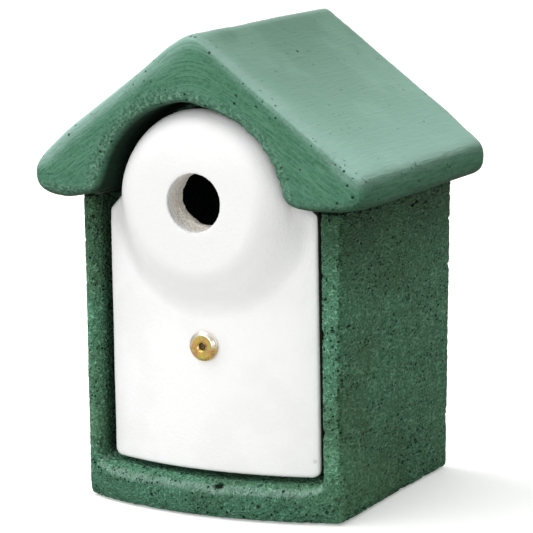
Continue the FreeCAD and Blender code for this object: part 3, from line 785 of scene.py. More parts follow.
def shape_walls(piece):
    """Draw the outer sides in towards the base, lean the opening, and round the worn edges."""
    height = body_high.z - body_low.z
    worn = piece.vertex_groups.new(name="worn edges")
    above = Vector((0.0, bow_front - LEDGE_AHEAD, panel_low.z))
    found, ledge, normal, face = frame["nodes"]["body_shell"].ray_cast(above, Vector((0.0, 0.0, -1.0)))
    for vertex in piece.data.vertices:
        vertex.co.y, vertex.co.z = rolled(vertex.co, ledge.z)
        vertex.co.x, vertex.co.y = squared(vertex.co.x, vertex.co.y)
        x, y, z = vertex.co
        outer = share_of(abs(x), body_high.x - POST, body_high.x)
        drawn_in = math.copysign(DRAFT * outer * (1.0 - (z - body_low.z) / height), x)
        ahead = fall(y, *OPENING_DEPTHS)
        vertex.co.x = x - drawn_in - lean(z, OPENING_LEAN) * (1.0 - outer) * ahead
        side = "right" if x > 0.0 else "left"
        if side == "right":
            vertex.co.x += BASE_FLARE * fall(z, *FLARE_HEIGHTS) * outer * fall(y, *FLARE_DEPTHS)
        corner = SOFT_CORNER[side] * step(abs(x), *CORNER_SIDES)
        nose = step(z, *NOSE_RISE) * fall(z, *NOSE_FALL)
        worn.add([vertex.index], max(corner, nose) * ahead * fall(z, *ROOF_HEIGHTS), "REPLACE")
    soften(piece, WORN_SMOOTHING, "worn edges")
    for vertex in piece.data.vertices:
        away = vertex.co - DENT
        away.x = away.x * DENT_STRETCH
        vertex.co.y += DENT_DEPTH * fall(away.length, *DENT_EDGE)


walls = cast("body_shell", "walls", shape_walls, step_size=1.1 * MM, rounds=2, most=194000, values={
    "Material": wall_green, "Lie": Vector(LIE),
    "Sag Size": 0.03, "Sag Depth": 0.5 * MM,
    "Grain Size": 0.0022, "Grain Depth": 0.4 * MM,
    **pit_inputs(WALL_PITS), "Pit Depth": 1.1 * MM,
    "Edge Crumble": 2.0, "Chip Size": 0.005, "Chip Depth": 1.6 * MM,
    "Quiet Low": chamber_low, "Quiet High": chamber_high,
    "Shade Axis": OPENING_AXIS, "Shade Mouth": bow_front - 1.0 * MM,
    "Shade Bow": 0.5 / bow_radius,
})
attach(walls, "box")
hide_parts("body_shell")

# %% [markdown]
# ## Brushed green roof
# The roof is trowelled smooth and painted with a brush. On the gable the strokes run along the slope
# and bend over at the apex, and on the edge of the eaves they run along the edge, so the noise is
# stretched that way. The slopes are smoother, with a pale painted sheen, most of all low down and along
# their front edge. Pale bands along the rounded edges and pale rims around the pits are painted
# highlights. The edge of the arch is ragged, with crumbs and pits, more so on the left. A few pinholes
# stay open, most of them near the edges. The pits, the faces that look down, the foot of the eave faces,
# the gable beside the arch and at its foot, and the inside of the arch are painted dark as shade.

# %% Roof paint
EAVE_HEIGHT = 0.021
PITCH = math.atan2(roof_high.z - roof_low.z - EAVE_HEIGHT, roof_high.x)
ROUND_APEX = 0.0002
ROOF_PITS = {"Spacing": 0.009, "Reach": 0.15, "Share": 0.5}
HIGHLIGHT_RIMS = {**ROOF_PITS, "Reach": 0.22}
CRUMBS = {"Spacing": 0.0036, "Reach": 0.4, "Share": 0.95, "Cluster_Size": 0.016}
PINHOLES = {"Spacing": 0.0036, "Reach": 0.34, "Cluster_Size": 0.02}
FOOT = (roof_low.z + 0.009, roof_low.z + 0.003)
EAVE_SHADE_HEIGHTS = (roof_low.z + 0.016, roof_low.z + 0.003)
FRONT_EDGE = (roof_low.y + 0.014, roof_low.y + 0.005)
SHEEN_DEPTHS = (-0.040, -0.080)
APEX_HEIGHTS = (0.256, 0.232)
ARCH_EDGE = 0.060


def roof_paint():
    material, wiring, sockets, place = new_material("roof_paint")
    edge = kept(wiring, "edge")
    inner_shade = kept(wiring, "inner_shade")
    facing = wiring.parts(kept(wiring, "facing", "Vector"))
    x, y, z = wiring.parts(place)
    slope = wiring.rise(facing[2], 0.35, 0.75)
    gable = wiring.rise(-facing[1], 0.4, 0.85)
    # faces that look down are painted darker: painted shade
    underside_shade = wiring.rise(-facing[2], 0.2, 0.9)
    side = wiring.sum("SQRT", x * x + ROUND_APEX)
    down = side * math.cos(PITCH) - z * math.sin(PITCH)
    over = side * math.sin(PITCH) + z * math.cos(PITCH)
    gable_strokes = placed(wiring, grain, wiring.joined(down * 0.14, y, over), Size=0.0012)
    eave_strokes = placed(wiring, grain, wiring.joined(x, y * 0.07, z), Size=0.0014)
    steep_strokes = wiring.mixed(gable, eave_strokes, gable_strokes)
    strokes = wiring.mixed(slope, steep_strokes, eave_strokes * 0.1 + 0.45)
    along = wiring.vector("MULTIPLY", place, (1.0, 0.22, 1.0))
    fine = placed(wiring, grain, along, Size=0.0018) * (slope * -0.85 + 1.0)

    from_arch = wiring.around(x, z - boss_middle)
    to_right = wiring.rise(x, -0.02, 0.02)
    ragged = wiring.rise(from_arch, to_right * -0.008 + 0.073, ARCH_EDGE)
    near_arch = wiring.most(ragged, wiring.rise(z, *FOOT)) * gable * (to_right * -0.4 + 1.0)
    at_arch = wiring.rise(from_arch, 0.0655, ARCH_EDGE) * gable
    rubble = placed(wiring, grain, place, Size=0.0016) * near_arch
    front_edge = wiring.rise(y, *FRONT_EDGE)
    crumbs = placed(wiring, paint_pits, place, **CRUMBS) * wiring.most(near_arch, at_arch)
    pinholes = placed(wiring, paint_pits, place, Share=edge * 0.6 + 0.3, **PINHOLES)
    pinholes = pinholes * (slope * (1.0 - front_edge) * -0.7 + 1.0)
    # pits, crumbs and pinholes painted near black: painted shade
    shaded_holes = wiring.most(placed(wiring, paint_pits, place, **ROOF_PITS), crumbs)
    shaded_holes = wiring.most(shaded_holes, pinholes)
    # pale rims around the pits: painted highlights
    highlight_rims = placed(wiring, paint_pits, place, **HIGHLIGHT_RIMS)

    terms = {"Value": down, "From Min": -0.15, "From Max": -0.04}
    eave = wiring.take("Result", "ShaderNodeMapRange", None, terms)
    # pale painted sheen on the slopes, most of all low down and towards the front
    painted_sheen = placed(wiring, blotches, place, Size=0.05) * 0.14 + (eave * 0.78 + 0.06)
    painted_sheen = wiring.rise(y, *SHEEN_DEPTHS) * 0.16 + painted_sheen
    # lower part of the eave faces painted darker: painted shade
    darker_low = wiring.rise(z, *EAVE_SHADE_HEIGHTS) * ((1.0 - slope) * (1.0 - gable))
    # pale bands along rounded edges and the front edge of the slopes: painted highlights
    rake = wiring.rise(facing[2], 0.03, 0.32) * wiring.rise(-facing[1], 0.1, 0.4)
    edge_highlight = wiring.most(edge * wiring.rise(facing[2], 0.0, 0.5), rake)
    strength = wiring.rise(x, -0.01, 0.01) * -0.25 + 0.6
    edge_highlight = edge_highlight * (strength * (wiring.rise(z, *APEX_HEIGHTS) * 0.35 + 0.65))
    edge_highlight = wiring.most(edge_highlight, front_edge * slope * 0.45)
    colour = wiring.blend(strokes, (0.045, 0.146, 0.085), (0.087, 0.230, 0.147))
    colour = wiring.coats(colour, [
        (fine, 0.55, (0.094, 0.240, 0.154)),
        (painted_sheen * slope, 1.0, (0.300, 0.535, 0.448)),
        (darker_low, 0.5, (0.024, 0.090, 0.044)),
        # gable darker beside the arch and at its foot: painted shade
        (near_arch, 0.5, (0.022, 0.078, 0.044)),
        (rubble, 0.85, (0.200, 0.400, 0.285)),
        (edge_highlight, 1.0, (0.320, 0.470, 0.430)),
        (highlight_rims, 0.35, (0.260, 0.390, 0.320)),
        (shaded_holes, 0.92, (0.007, 0.016, 0.010)),
        (underside_shade, 0.6, (0.020, 0.050, 0.028)),
        # inside of the arch painted near black: painted shade
        (inner_shade, 0.92, (0.006, 0.014, 0.008)),
    ])
    wiring.feed(sockets["Base Color"], colour)
    wiring.feed(sockets["Roughness"], wiring.most(slope * -0.28 + 0.7, inner_shade))
    sockets["Specular IOR Level"].default_value = 0.12
    height = strokes * (1.0 - inner_shade) * 1.1 + fine * 0.7
    height = rubble * 2.8 + height - shaded_holes * 2.2
    bumped(wiring, sockets, height, 0.00045)
    return material


roof_green = roof_paint()
print("made", roof_green.name)

# %% [markdown]
# ## Roof
# The real roof is rounder than a plain solid where hands have smoothed it: the outer edges of the gable
# and the left side of the arch are soft, and the eaves end in full round noses. The left rake is fuller
# too, most of all beside the apex. The right side of the arch stands closer to the boss than the left
# one, and the edge of the arch is ragged. More construction could model this, but it is the work of a
# hand on wet mix, so the points of the copy are moved by small amounts. First come the moves.

# %% Moves of the roof
ARCH_DRAW = 3.0 * MM
ARCH_RADII = mm(60.0, 76.0)
ARCH_DEPTHS = (roof_low.y + 25.0 * MM, panel_high.y)
RIGHT_ANGLES = (72.0, 102.0)
RAGGED = 0.9 * MM
RAGGED_SCALE = 320.0
MOUTH_RADII = mm(60.0, 65.0)
GABLE_DEPTHS = (roof_low.y + 8.0 * MM, roof_low.y + 30.0 * MM)
FRONT_DEPTHS = (roof_low.y + 10.0 * MM, roof_low.y + 60.0 * MM)
BACK_LESS = 0.4
FULL_NOSE = 2.4 * MM
FULL_GABLE = 2.2 * MM
NOSE_MIDDLE = (0.088, roof_low.z + 11.0 * MM)
NOSE_TOP = (NOSE_MIDDLE[1], NOSE_MIDDLE[1] + 8.0 * MM)
EAVE_SIDES = mm(66.0, 84.0)
FULL_RAKE = 2.0 * MM
FULLER_APEX = 0.8
BESIDE_APEX = 16.0 * MM
APEX_WIDTH = 14.0 * MM
RAKE_START = mm(-4.0, 8.0)
RAKE_END = mm(88.0, 99.0)
RAKE_SKIN = mm(-14.0, -3.0)


def seen_from_arch(x, z):
    """Distance from the axis of the arch, and the angle around it in degrees."""
    return math.hypot(x, z - boss_middle), math.degrees(math.atan2(z - boss_middle, x))


def to_front(y):
    """How much a point belongs to the front of the roof."""
    return 1.0 - BACK_LESS * step(y, *FRONT_DEPTHS)


def draw_arch(vertex):
    """Draw the right side of the arch in, and make its edge ragged."""
    x, y, z = vertex.co
    from_arch, angle = seen_from_arch(x, z)
    drawn = ARCH_DRAW * fall(from_arch, *ARCH_RADII) * fall(angle, *RIGHT_ANGLES) * fall(y, *ARCH_DEPTHS)
    at_mouth = fall(from_arch, *MOUTH_RADII) * fall(y, *GABLE_DEPTHS)
    torn = RAGGED * at_mouth * noise.noise(vertex.co * RAGGED_SCALE)
    share = 1.0 - (drawn + torn) / from_arch
    vertex.co.x = x * share
    vertex.co.z = boss_middle + (z - boss_middle) * share


def fill_eaves(vertex, x, y, z):
    """Make the noses of the eaves fuller, along the slope, for a point that stood at a place."""
    away = Vector((abs(x) - NOSE_MIDDLE[0], z - NOSE_MIDDLE[1])).normalized()
    full = FULL_NOSE
    if x < 0.0:
        full = FULL_NOSE * to_front(y) + FULL_GABLE * fall(y, *GABLE_DEPTHS)
        vertex.co.z += full * step(-x, *EAVE_SIDES) * min(away[1], 0.0)
    out = full * step(abs(x), *EAVE_SIDES) * max(away[0], 0.0)
    vertex.co.x += math.copysign(out, x)
    vertex.co.z -= out * math.tan(PITCH) * step(z, *NOSE_TOP)


def fill_rake(vertex, x, y, z):
    """Make the left rake fuller, most of all beside the apex, for a point that stood at a place."""
    above = abs(x) * math.sin(PITCH) + z * math.cos(PITCH) - roof_high.z * math.cos(PITCH)
    beside_apex = 1.0 + FULLER_APEX * math.exp(-((x + BESIDE_APEX) / APEX_WIDTH) ** 2)
    rake = FULL_RAKE * beside_apex * fall(y, *GABLE_DEPTHS) * step(-x, *RAKE_START)
    rake = rake * step(above, *RAKE_SKIN) * fall(-x, *RAKE_END)
    vertex.co.x -= rake * math.sin(PITCH)
    vertex.co.z += rake * math.cos(PITCH)


print("roof slopes by", round(math.degrees(PITCH), 1), "degrees")

# %% [markdown]
# ## Smoothing of the roof
# Three groups of points say where the smoothing takes hold, and how much: the outer edges of the gable,
# far less on the right, the noses of the eaves, and the sides of the arch.

# %% Roof
SMOOTHING = {"gable edges": 240, "noses": 150, "arch sides": 110}
SHARP_RIGHT = 0.86
APEX_SIDES = mm(-10.0, 10.0)
OUTSIDE_ARCH = mm(70.0, 80.0)
NOSE_TIPS = mm(76.0, 92.0)
LEFT_ANGLES = (95.0, 130.0)
FOOT_SIDES = mm(56.0, 66.0)
FOOT_HEIGHTS = (roof_low.z + 3.0 * MM, roof_low.z + 12.0 * MM)
VAULT_LOW = Vector((-0.05, -0.044, 0.17))
VAULT_HIGH = Vector((0.05, 0.064, 0.23))


def softness(x, y, z):
    """How much the smoothing takes hold at a place, by the names of the groups."""
    from_arch, angle = seen_from_arch(x, z)
    near_gable = fall(y, *GABLE_DEPTHS)
    outside_arch = step(from_arch, *OUTSIDE_ARCH)
    exposed = 1.0 - SHARP_RIGHT * step(x, *APEX_SIDES)
    left_side = step(angle, *LEFT_ANGLES) * (1.0 - outside_arch)
    right_foot = step(x, *FOOT_SIDES) * fall(z, *FOOT_HEIGHTS)
    return {
        "gable edges": near_gable * outside_arch * exposed,
        "noses": to_front(y) * step(abs(x), *NOSE_TIPS),
        "arch sides": near_gable * max(left_side, right_foot),
    }


def shape_roof(piece):
    """Soften the outer edges of the gable and the left of the arch, round the eaves, draw in the right."""
    groups = {name: piece.vertex_groups.new(name=name) for name in SMOOTHING}
    for vertex in piece.data.vertices:
        x, y, z = vertex.co
        for name, weight in softness(x, y, z).items():
            groups[name].add([vertex.index], weight, "REPLACE")
        draw_arch(vertex)
        fill_eaves(vertex, x, y, z)
        fill_rake(vertex, x, y, z)
    for name, rounds in SMOOTHING.items():
        soften(piece, rounds, name)


roof = cast("roof", "roof_cap", shape_roof, step_size=1.3 * MM, rounds=3, most=190000, values={
    "Material": roof_green,
    "Sag Size": 0.05, "Sag Depth": 1.2 * MM,
    "Grain Size": 0.004, "Grain Depth": 0.2 * MM,
    **pit_inputs(ROOF_PITS), "Pit Depth": 0.9 * MM, "Edge Crumble": 1.5,
    "Quiet Low": VAULT_LOW, "Quiet High": VAULT_HIGH,
    "Shade Axis": Vector((0.0, 0.0, boss_middle)), "Shade Mouth": roof_low.y + 1.0 * MM,
})
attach(roof, "box")
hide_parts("roof")

# %% [markdown]
# ## White paint
# Only the face of the front is painted white. The edges and the back are painted near black as shade,
# so the gap around the front looks black. The bore of the entrance shows the beige of the mix where the
# core of the mould was pulled out, behind a mouth that the paint has reached. The face of the boss below
# its crown is painted a little grey as shade. How far a point lies behind the bowed face says where the
# white ends and the painted shade begins.

# %% White paint
FRONT_PITS = {"Spacing": 0.013, "Reach": 0.055, "Share": 0.6}
BARE_BEHIND = (0.0014, 0.0020)
BARE_AROUND = (0.021, 0.023)
BORE_WALL = (0.0172, 0.0163)
BORE_MOUTH = (boss_front + 0.0025, boss_front + 0.0085)
CROWN_HEIGHTS = (boss_middle + 0.040, boss_middle + 0.014)
CHIP = Vector((0.0622, bow(0.0622), 0.0335))
CHIP_REACH = (0.0017, 0.0006)


def white_paint():
    material, wiring, sockets, place = new_material("white_paint")
    fine = placed(wiring, grain, place, Size=0.0016)
    grey = placed(wiring, blotches, place, Size=0.03)
    specks = placed(wiring, paint_pits, place, **FRONT_PITS)
    x, y, z = wiring.parts(place)
    radius = wiring.around(x, z - entrance.z)
    bore = wiring.rise(radius, *BORE_WALL)
    plain = (bow_front + bow_radius) - wiring.sum("SQRT", bow_radius ** 2 - x * x)
    # edges and back painted near black: painted shade in the gap around the front
    bare_and_shaded = wiring.rise(y - plain, *BARE_BEHIND) * wiring.rise(radius, *BARE_AROUND)
    from_chip = wiring.vector("LENGTH", wiring.vector("SUBTRACT", place, tuple(CHIP)))
    # face of the boss below its crown painted a little grey: painted shade that evens out its light
    shaded_boss_face = wiring.rise(y, bow_front - 0.006, boss_front) * wiring.rise(z, *CROWN_HEIGHTS)
    beige = wiring.blend(fine, (0.86, 0.80, 0.71), (1.0, 0.97, 0.92))
    shaded_mix = wiring.blend(fine, (0.030, 0.028, 0.022), (0.075, 0.070, 0.056))
    colour = wiring.blend(grey, (0.90, 0.90, 0.905), (0.87, 0.87, 0.87))
    colour = wiring.coats(colour, [
        (shaded_boss_face, 1.0, (0.82, 0.82, 0.82)),
        (wiring.rise(from_chip, *CHIP_REACH), 0.35, (0.45, 0.38, 0.30)),
        (bore * wiring.rise(y, *BORE_MOUTH), 1.0, beige),
        (specks, 0.5, (0.35, 0.33, 0.28)),
        (bare_and_shaded, 1.0, shaded_mix),
    ])
    wiring.feed(sockets["Base Color"], colour)
    rough = wiring.most(bore, bare_and_shaded)
    wiring.feed(sockets["Roughness"], rough * 0.35 + 0.5)
    bumped(wiring, sockets, fine * (rough * 4.0 + 1.0) - specks, 0.00007)
    return material


front_white = white_paint()
print("made", front_white.name)

# %% [markdown]
# ## White front
# On the real front the boss has no sharp foot: it runs out in a wide soft slope below its middle. The
# solid has a plain blend there, so the copy is drawn to a softer curve. The inner edge of the bore is
# broken out a little, as a hole is where the core of the mould was pulled, and a lip stands at its foot.
# The sides lean as those of the opening do, the crown of the boss is a little taller, and the right
# shoulder a little higher.

# %% Moves of the white front
BORE_ROUND = 20.0 * MM
BORE_END = (boss_front + 8.0 * MM, boss_front + 17.0 * MM)
BREAK_OUT = 0.9 * MM
BREAK_SCALE = 260.0
LIP = 1.8 * MM
LIP_BELOW = mm(2.0, 13.0)
FOOT_RADII = mm(33.0, 63.0)
LOW_ON_BOSS = (boss_middle - 10.0 * MM, boss_middle + 16.0 * MM)
PANEL_LEAN = mm(-0.4, 1.4)
PANEL_SIDES = mm(50.0, 62.0)
RIGHT_REACH = 0.1 * MM
CROWN_RISE = 2.0 * MM
CROWN_ABOVE = mm(12.0, 46.0)
CROWN_RADII = mm(36.0, 46.0)
SHOULDER_RISE = 4.5 * MM
SHOULDER_SIDES = mm(44.0, 58.0)


def shape_boss(vertex, x, y, z):
    """Break out the inner edge of the bore, and give the boss a wide foot."""
    plain = bow(x)
    from_entrance = math.hypot(x, z - entrance.z)
    from_boss = math.hypot(x, z - boss_middle)
    if from_entrance < BORE_ROUND:
        lip = LIP * step(entrance.z - z, *LIP_BELOW)
        push = step(y, *BORE_END) * (BREAK_OUT * noise.noise(vertex.co * BREAK_SCALE) - lip)
        vertex.co.x = x * (1.0 + push / from_entrance)
        vertex.co.z = entrance.z + (z - entrance.z) * (1.0 + push / from_entrance)
    elif y < plain + 1.0 * MM and from_boss < FOOT_RADII[1]:
        soft = plain + (boss_front - plain) * fall(from_boss, *FOOT_RADII)
        vertex.co.y = y + (soft - y) * fall(z, *LOW_ON_BOSS)


def shape_sides(vertex, x, z):
    """Lean the sides, and raise the crown and the right shoulder."""
    vertex.co.x -= lean(z, PANEL_LEAN) * step(abs(x), *PANEL_SIDES)
    vertex.co.x += RIGHT_REACH * step(x, *PANEL_SIDES)
    crown = step(z - boss_middle, *CROWN_ABOVE) * step(math.hypot(x, z - boss_middle), *CROWN_RADII)
    shoulder = step(x, *SHOULDER_SIDES) * step(z, *ROOF_HEIGHTS)
    vertex.co.z += max(CROWN_RISE * crown, SHOULDER_RISE * shoulder)


print("crown rises by", round(CROWN_RISE / MM, 1), "and shoulder by", round(SHOULDER_RISE / MM, 1))

# %% [markdown]
# ## Seam of the boss
# Where the moved foot meets the plain sides of the boss a seam would show, so it is smoothed.

# %% White front
SEAM_SMOOTHING = 70
SEAM_INNER = mm(40.0, 47.0)
SEAM_OUTER = mm(62.0, 66.0)
SEAM_BELOW = 4.0 * MM
SEAM_HEIGHTS = mm(14.0, 28.0)
SEAM_BEHIND = mm(3.0, 8.0)
NOWHERE_LOW = Vector((-0.001, 0.0, 0.0))
NOWHERE_HIGH = Vector((0.001, 0.001, 0.001))
NEVER = 1.0


def seam_weight(x, y, z):
    """How much a place belongs to the seam beside the boss."""
    from_boss = math.hypot(x, z - boss_middle)
    beside = step(from_boss, *SEAM_INNER) * fall(from_boss, *SEAM_OUTER)
    level_with = fall(abs(z - boss_middle + SEAM_BELOW), *SEAM_HEIGHTS)
    return beside * level_with * fall(y - bow(x), *SEAM_BEHIND)


def shape_front(piece):
    """Give the boss a wide foot and a taller crown, break out the inner edge of the bore, lean the sides."""
    seam = piece.vertex_groups.new(name="seam")
    for vertex in piece.data.vertices:
        x, y, z = vertex.co
        seam.add([vertex.index], seam_weight(x, y, z), "REPLACE")
        shape_boss(vertex, x, y, z)
        shape_sides(vertex, x, z)
    soften(piece, SEAM_SMOOTHING, "seam")


front = cast("front_panel", "white_front", shape_front, step_size=0.85 * MM, rounds=2, most=180000, values={
    "Material": front_white,
    "Sag Size": 0.03, "Sag Depth": 0.25 * MM,
    "Grain Size": 0.004, "Grain Depth": 0.06 * MM,
    **pit_inputs(FRONT_PITS), "Pit Depth": 0.2 * MM, "Edge Crumble": 2.0,
    "Quiet Low": NOWHERE_LOW, "Quiet High": NOWHERE_HIGH,
    "Shade Axis": OPENING_AXIS, "Shade Mouth": NEVER,
})
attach(front, "front")
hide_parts("front_panel")

# %% [markdown]
# ## Plated steel, nylon and mortar
# The bolt and the screws of the hanger are zinc plated and passivated yellow, which leaves a thin film
# whose colour shifts from gold to olive and rose. The upper bevel of the bolt's head is painted pale as a
# highlight, and its socket is dark. The washers, the bar and the nut are bright zinc. The plate is
# galvanised, with the flat crystals of zinc that cools slowly. A film could be computed from its
# thickness, but soft patches of three colours look the same, and the crystals are the cells of a cell
# texture, each with its own brightness. The mortar is cement, painted dark as the shade in the joint.

# %% Finishes of the small pieces
SOCKET_WALL = (0.0027, 0.0024)
SOCKET_TOP = (bolt_low.y + 0.0006, bolt_low.y + 0.0012)
SOCKET_FLOOR = (bolt_low.y + 0.0032, bolt_low.y + 0.0030)
BEVEL_RING = (bolt_high.x - 0.0024, bolt_high.x - 0.0020)
BEVEL_BACK = (bolt_low.y + 0.0040, bolt_low.y + 0.0034)
BEVEL_HIGHLIGHT_HEIGHTS = (-0.0022, 0.0026)
FILM_SHIFT = (0.31, 0.17, 0.23)
CRYSTAL = 0.005


def on_bolt(wiring, place):
    """Masks on the head of the bolt: its socket, and the upper part of its bevel, which takes a painted highlight.
    """
    x, y, z = wiring.parts(place)
    height = z - bolt_axis.z
    radius = wiring.around(x, height)
    depth = wiring.rise(y, *SOCKET_TOP) * wiring.rise(y, *SOCKET_FLOOR)
    ring = wiring.rise(radius, *BEVEL_RING) * wiring.rise(y, *BEVEL_BACK)
    return wiring.rise(radius, *SOCKET_WALL) * depth, ring * wiring.rise(height, *BEVEL_HIGHLIGHT_HEIGHTS)


def plated(name, colours, size, roughness):
    """Metal whose colour shifts between three tones, with a dark socket and a painted highlight on the bevel of
    the bolt.
    """
    material, wiring, sockets, place = new_material(name)
    patch = placed(wiring, blotches, place, Size=size, Start=0.42, End=0.58)
    moved = wiring.vector("ADD", place, FILM_SHIFT)
    other = placed(wiring, blotches, moved, Size=size * 0.7, Start=0.5, End=0.62)
    scratches = placed(wiring, grain, place, Size=0.0005)
    dark_socket, bevel_highlight = on_bolt(wiring, place)
    colour = wiring.coats(wiring.blend(patch, colours[0], colours[1]), [
        (other, 0.7, colours[2]),
        # pale upper bevel of the bolt's head: painted highlight
        (bevel_highlight, 0.85, (0.94, 0.92, 0.85)),
        # socket of the bolt made dark and not metallic
        (dark_socket, 0.9, (0.050, 0.026, 0.012)),
    ])
    wiring.feed(sockets["Base Color"], colour)
    wiring.feed(sockets["Metallic"], 1.0 - dark_socket)
    wiring.feed(sockets["Roughness"], scratches * 0.12 + roughness)
    return material


def spangled(name):
    """Galvanised metal with crystals."""
    material, wiring, sockets, place = new_material(name)
    distance, draw = wiring.cells(place, 1.0 / CRYSTAL)
    wiring.feed(sockets["Base Color"], wiring.blend(draw, (0.40, 0.42, 0.44), (0.60, 0.62, 0.63)))
    sockets["Metallic"].default_value = 1.0
    wiring.feed(sockets["Roughness"], draw * 0.18 + 0.38)
    return material


def dull(name, first, second, size, roughness):
    """Plain dull material with a little grain."""
    material, wiring, sockets, place = new_material(name)
    fine = placed(wiring, grain, place, Size=size)
    wiring.feed(sockets["Base Color"], wiring.blend(fine, first, second))
    sockets["Roughness"].default_value = roughness
    bumped(wiring, sockets, fine, size * 0.15)
    return material


GOLD = ((0.68, 0.47, 0.12), (0.60, 0.32, 0.14), (0.56, 0.56, 0.16))
ZINC = ((0.60, 0.62, 0.64), (0.50, 0.52, 0.55), (0.55, 0.58, 0.60))
# mortar coloured dark green-grey: painted shade in the joint under the roof
SHADED_CEMENT = ((0.030, 0.042, 0.032), (0.070, 0.088, 0.070))
CREAM = ((0.62, 0.60, 0.54), (0.68, 0.66, 0.60))
finishes = {
    "zinc_yellow": plated("zinc_yellow", GOLD, size=0.0045, roughness=0.22),
    "zinc_bright": plated("zinc_bright", ZINC, size=0.006, roughness=0.26),
    "galvanised": spangled("galvanised"),
    "mortar": dull("mortar", *SHADED_CEMENT, size=0.0015, roughness=0.9),
    "nylon": dull("nylon", *CREAM, size=0.002, roughness=0.5),
}
print("made", len(finishes), "finishes for the small pieces")

# %% [markdown]
# ## Small pieces
# Turned, stamped and moulded pieces have no razor edges. Bevels could be cut on every edge, but a copy
# on a fine even mesh, smoothed by two rounds, breaks all edges alike and never fails on a round one.
# The socket of the bolt has a small countersink, which shows as a bright ring, so the rim of the socket
# is drawn inwards on a cone.

# %% Small pieces
SINK_RADIUS = 3.1 * MM
SINK_SLOPE = 0.7
HEAD_DEPTH = 0.3 * MM


def sink_socket(piece):
    """Draw the rim of the bolt's socket inwards."""
    face = min(vertex.co.y for vertex in piece.data.vertices)
    for vertex in piece.data.vertices:
        x, y, z = vertex.co
        from_axis = math.hypot(x - bolt_axis.x, z - bolt_axis.z)
        if y < face + HEAD_DEPTH and from_axis < SINK_RADIUS:
            vertex.co.y = max(y, face + SINK_SLOPE * (SINK_RADIUS - from_axis))


SMALL_PIECES = [
    ("latch_bolt", "bolt", "latch", 0.2),
    ("latch_washer", "plain_washer", "latch", 0.3),
    ("latch_spacer", "spacer_tube", "latch", 0.3),
    ("latch_bar", "turning_bar", "latch", 0.4),
    ("latch_spring_washer", "split_washer", "latch", 0.2),
    ("latch_lock_nut", "lock_nut", "latch", 0.25),
    ("hanger_plate", "keyhole_plate", "box", 0.4),
    ("hanger_screw_left", "plate_screw_left", "box", 0.2),
    ("hanger_screw_right", "plate_screw_right", "box", 0.2),
    ("hanger_plug_left", "plug_left", "box", 0.3),
    ("hanger_plug_right", "plug_right", "box", 0.3),
    ("roof_mortar_bed", "mortar_bed", "box", 0.6),
]
slots = {item["node"]: item["material_slot"] for item in frame["record"]["subparts"]}
for node, name, body, mesh_step in SMALL_PIECES:
    piece = merged_copy(node, name)
    even_mesh(piece, mesh_step * MM, 2)
    if node == "latch_bolt":
        sink_socket(piece)
    piece.data.materials.append(finishes[slots[node]])
    piece.data.shade_smooth()
    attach(piece, body)
    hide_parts(node)
    print(name, "has", triangles(piece), "triangles")

# %% [markdown]
# ## Thread and collar
# The solids stand in for threads with plain cylinders. The end of the bolt behind the lock nut is in
# sight when the front is out, so its thread is wound there as a ridge along a spiral, by rule: pitch,
# length and radius are inputs. The nut holds by a nylon collar, which is a ring around the same axis.
# Both sweep a small outline along a curve, so one tree does both.

# %% Thread and collar
SWEEP_INPUTS = [
    ("Material", "Material", None), ("Radius", "Float", 0.003), ("Outline", "Float", 0.0003),
    ("Corners", "Int", 3), ("Turns", "Float", 2.0), ("Length", "Float", 0.002), ("Start", "Vector", None),
]
POINTS_PER_TURN = 40
FROM_UP_TO_BACK = (-math.pi / 2, 0.0, 0.0)
PITCH_OF_THREAD = 1.0 * MM
THREAD_LENGTH = bolt_high.y - nut_high.y - 0.5 * MM


def sweep_tree():
    outputs = [("Geometry", "Geometry")]
    wiring, given, result = new_group("swept ridge", "GeometryNodeTree", SWEEP_INPUTS, outputs)
    terms = {"Resolution": POINTS_PER_TURN, "Rotations": given["Turns"], "Height": given["Length"]}
    terms.update({"Start Radius": given["Radius"], "End Radius": given["Radius"]})
    spiral = wiring.take("Curve", "GeometryNodeCurveSpiral", None, terms)
    terms = {"Resolution": given["Corners"], "Radius": given["Outline"]}
    outline = wiring.take("Curve", "GeometryNodeCurvePrimitiveCircle", None, terms)
    terms = {"Curve": spiral, "Profile Curve": outline, "Fill Caps": True}
    swept = wiring.take("Mesh", "GeometryNodeCurveToMesh", None, terms)
    terms = {"Geometry": swept, "Rotation": FROM_UP_TO_BACK, "Translation": given["Start"]}
    laid = wiring.take("Geometry", "GeometryNodeTransform", None, terms)
    return end_tree(wiring, given, result, laid)


swept_ridge = sweep_tree()


def swept_piece(name, values):
    """New piece swept along a spiral around the bolt."""
    piece = bpy.data.objects.new(name, bpy.data.meshes.new(name))
    bpy.context.scene.collection.objects.link(piece)
    add_tree(piece, swept_ridge, values)
    settle(piece)
    shape = bmesh.new()
    shape.from_mesh(piece.data)
    bmesh.ops.recalc_face_normals(shape, faces=shape.faces)
    shape.to_mesh(piece.data)
    shape.free()
    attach(piece, "latch")
    print(name, "has", triangles(piece), "triangles")


swept_piece("bolt_thread", {
    "Material": finishes["zinc_yellow"], "Radius": 2.9 * MM, "Outline": 0.32 * MM, "Corners": 3,
    "Turns": THREAD_LENGTH / PITCH_OF_THREAD, "Length": THREAD_LENGTH,
    "Start": Vector((bolt_axis.x, nut_high.y + 0.2 * MM, bolt_axis.z)),
})
swept_piece("nut_collar", {
    "Material": finishes["nylon"], "Radius": 3.7 * MM, "Outline": 0.6 * MM, "Corners": 12,
    "Turns": 0.995, "Length": 0.0,
    "Start": Vector((bolt_axis.x, nut_high.y - 0.1 * MM, bolt_axis.z)),
})

# %% [markdown]
# ## Floor
# The box stands on a plain pale floor. It is bright to the camera, as in a cut-out picture, but gives
# less light back, so the underside of the roof stays dark. The path of the light tells the two apart.

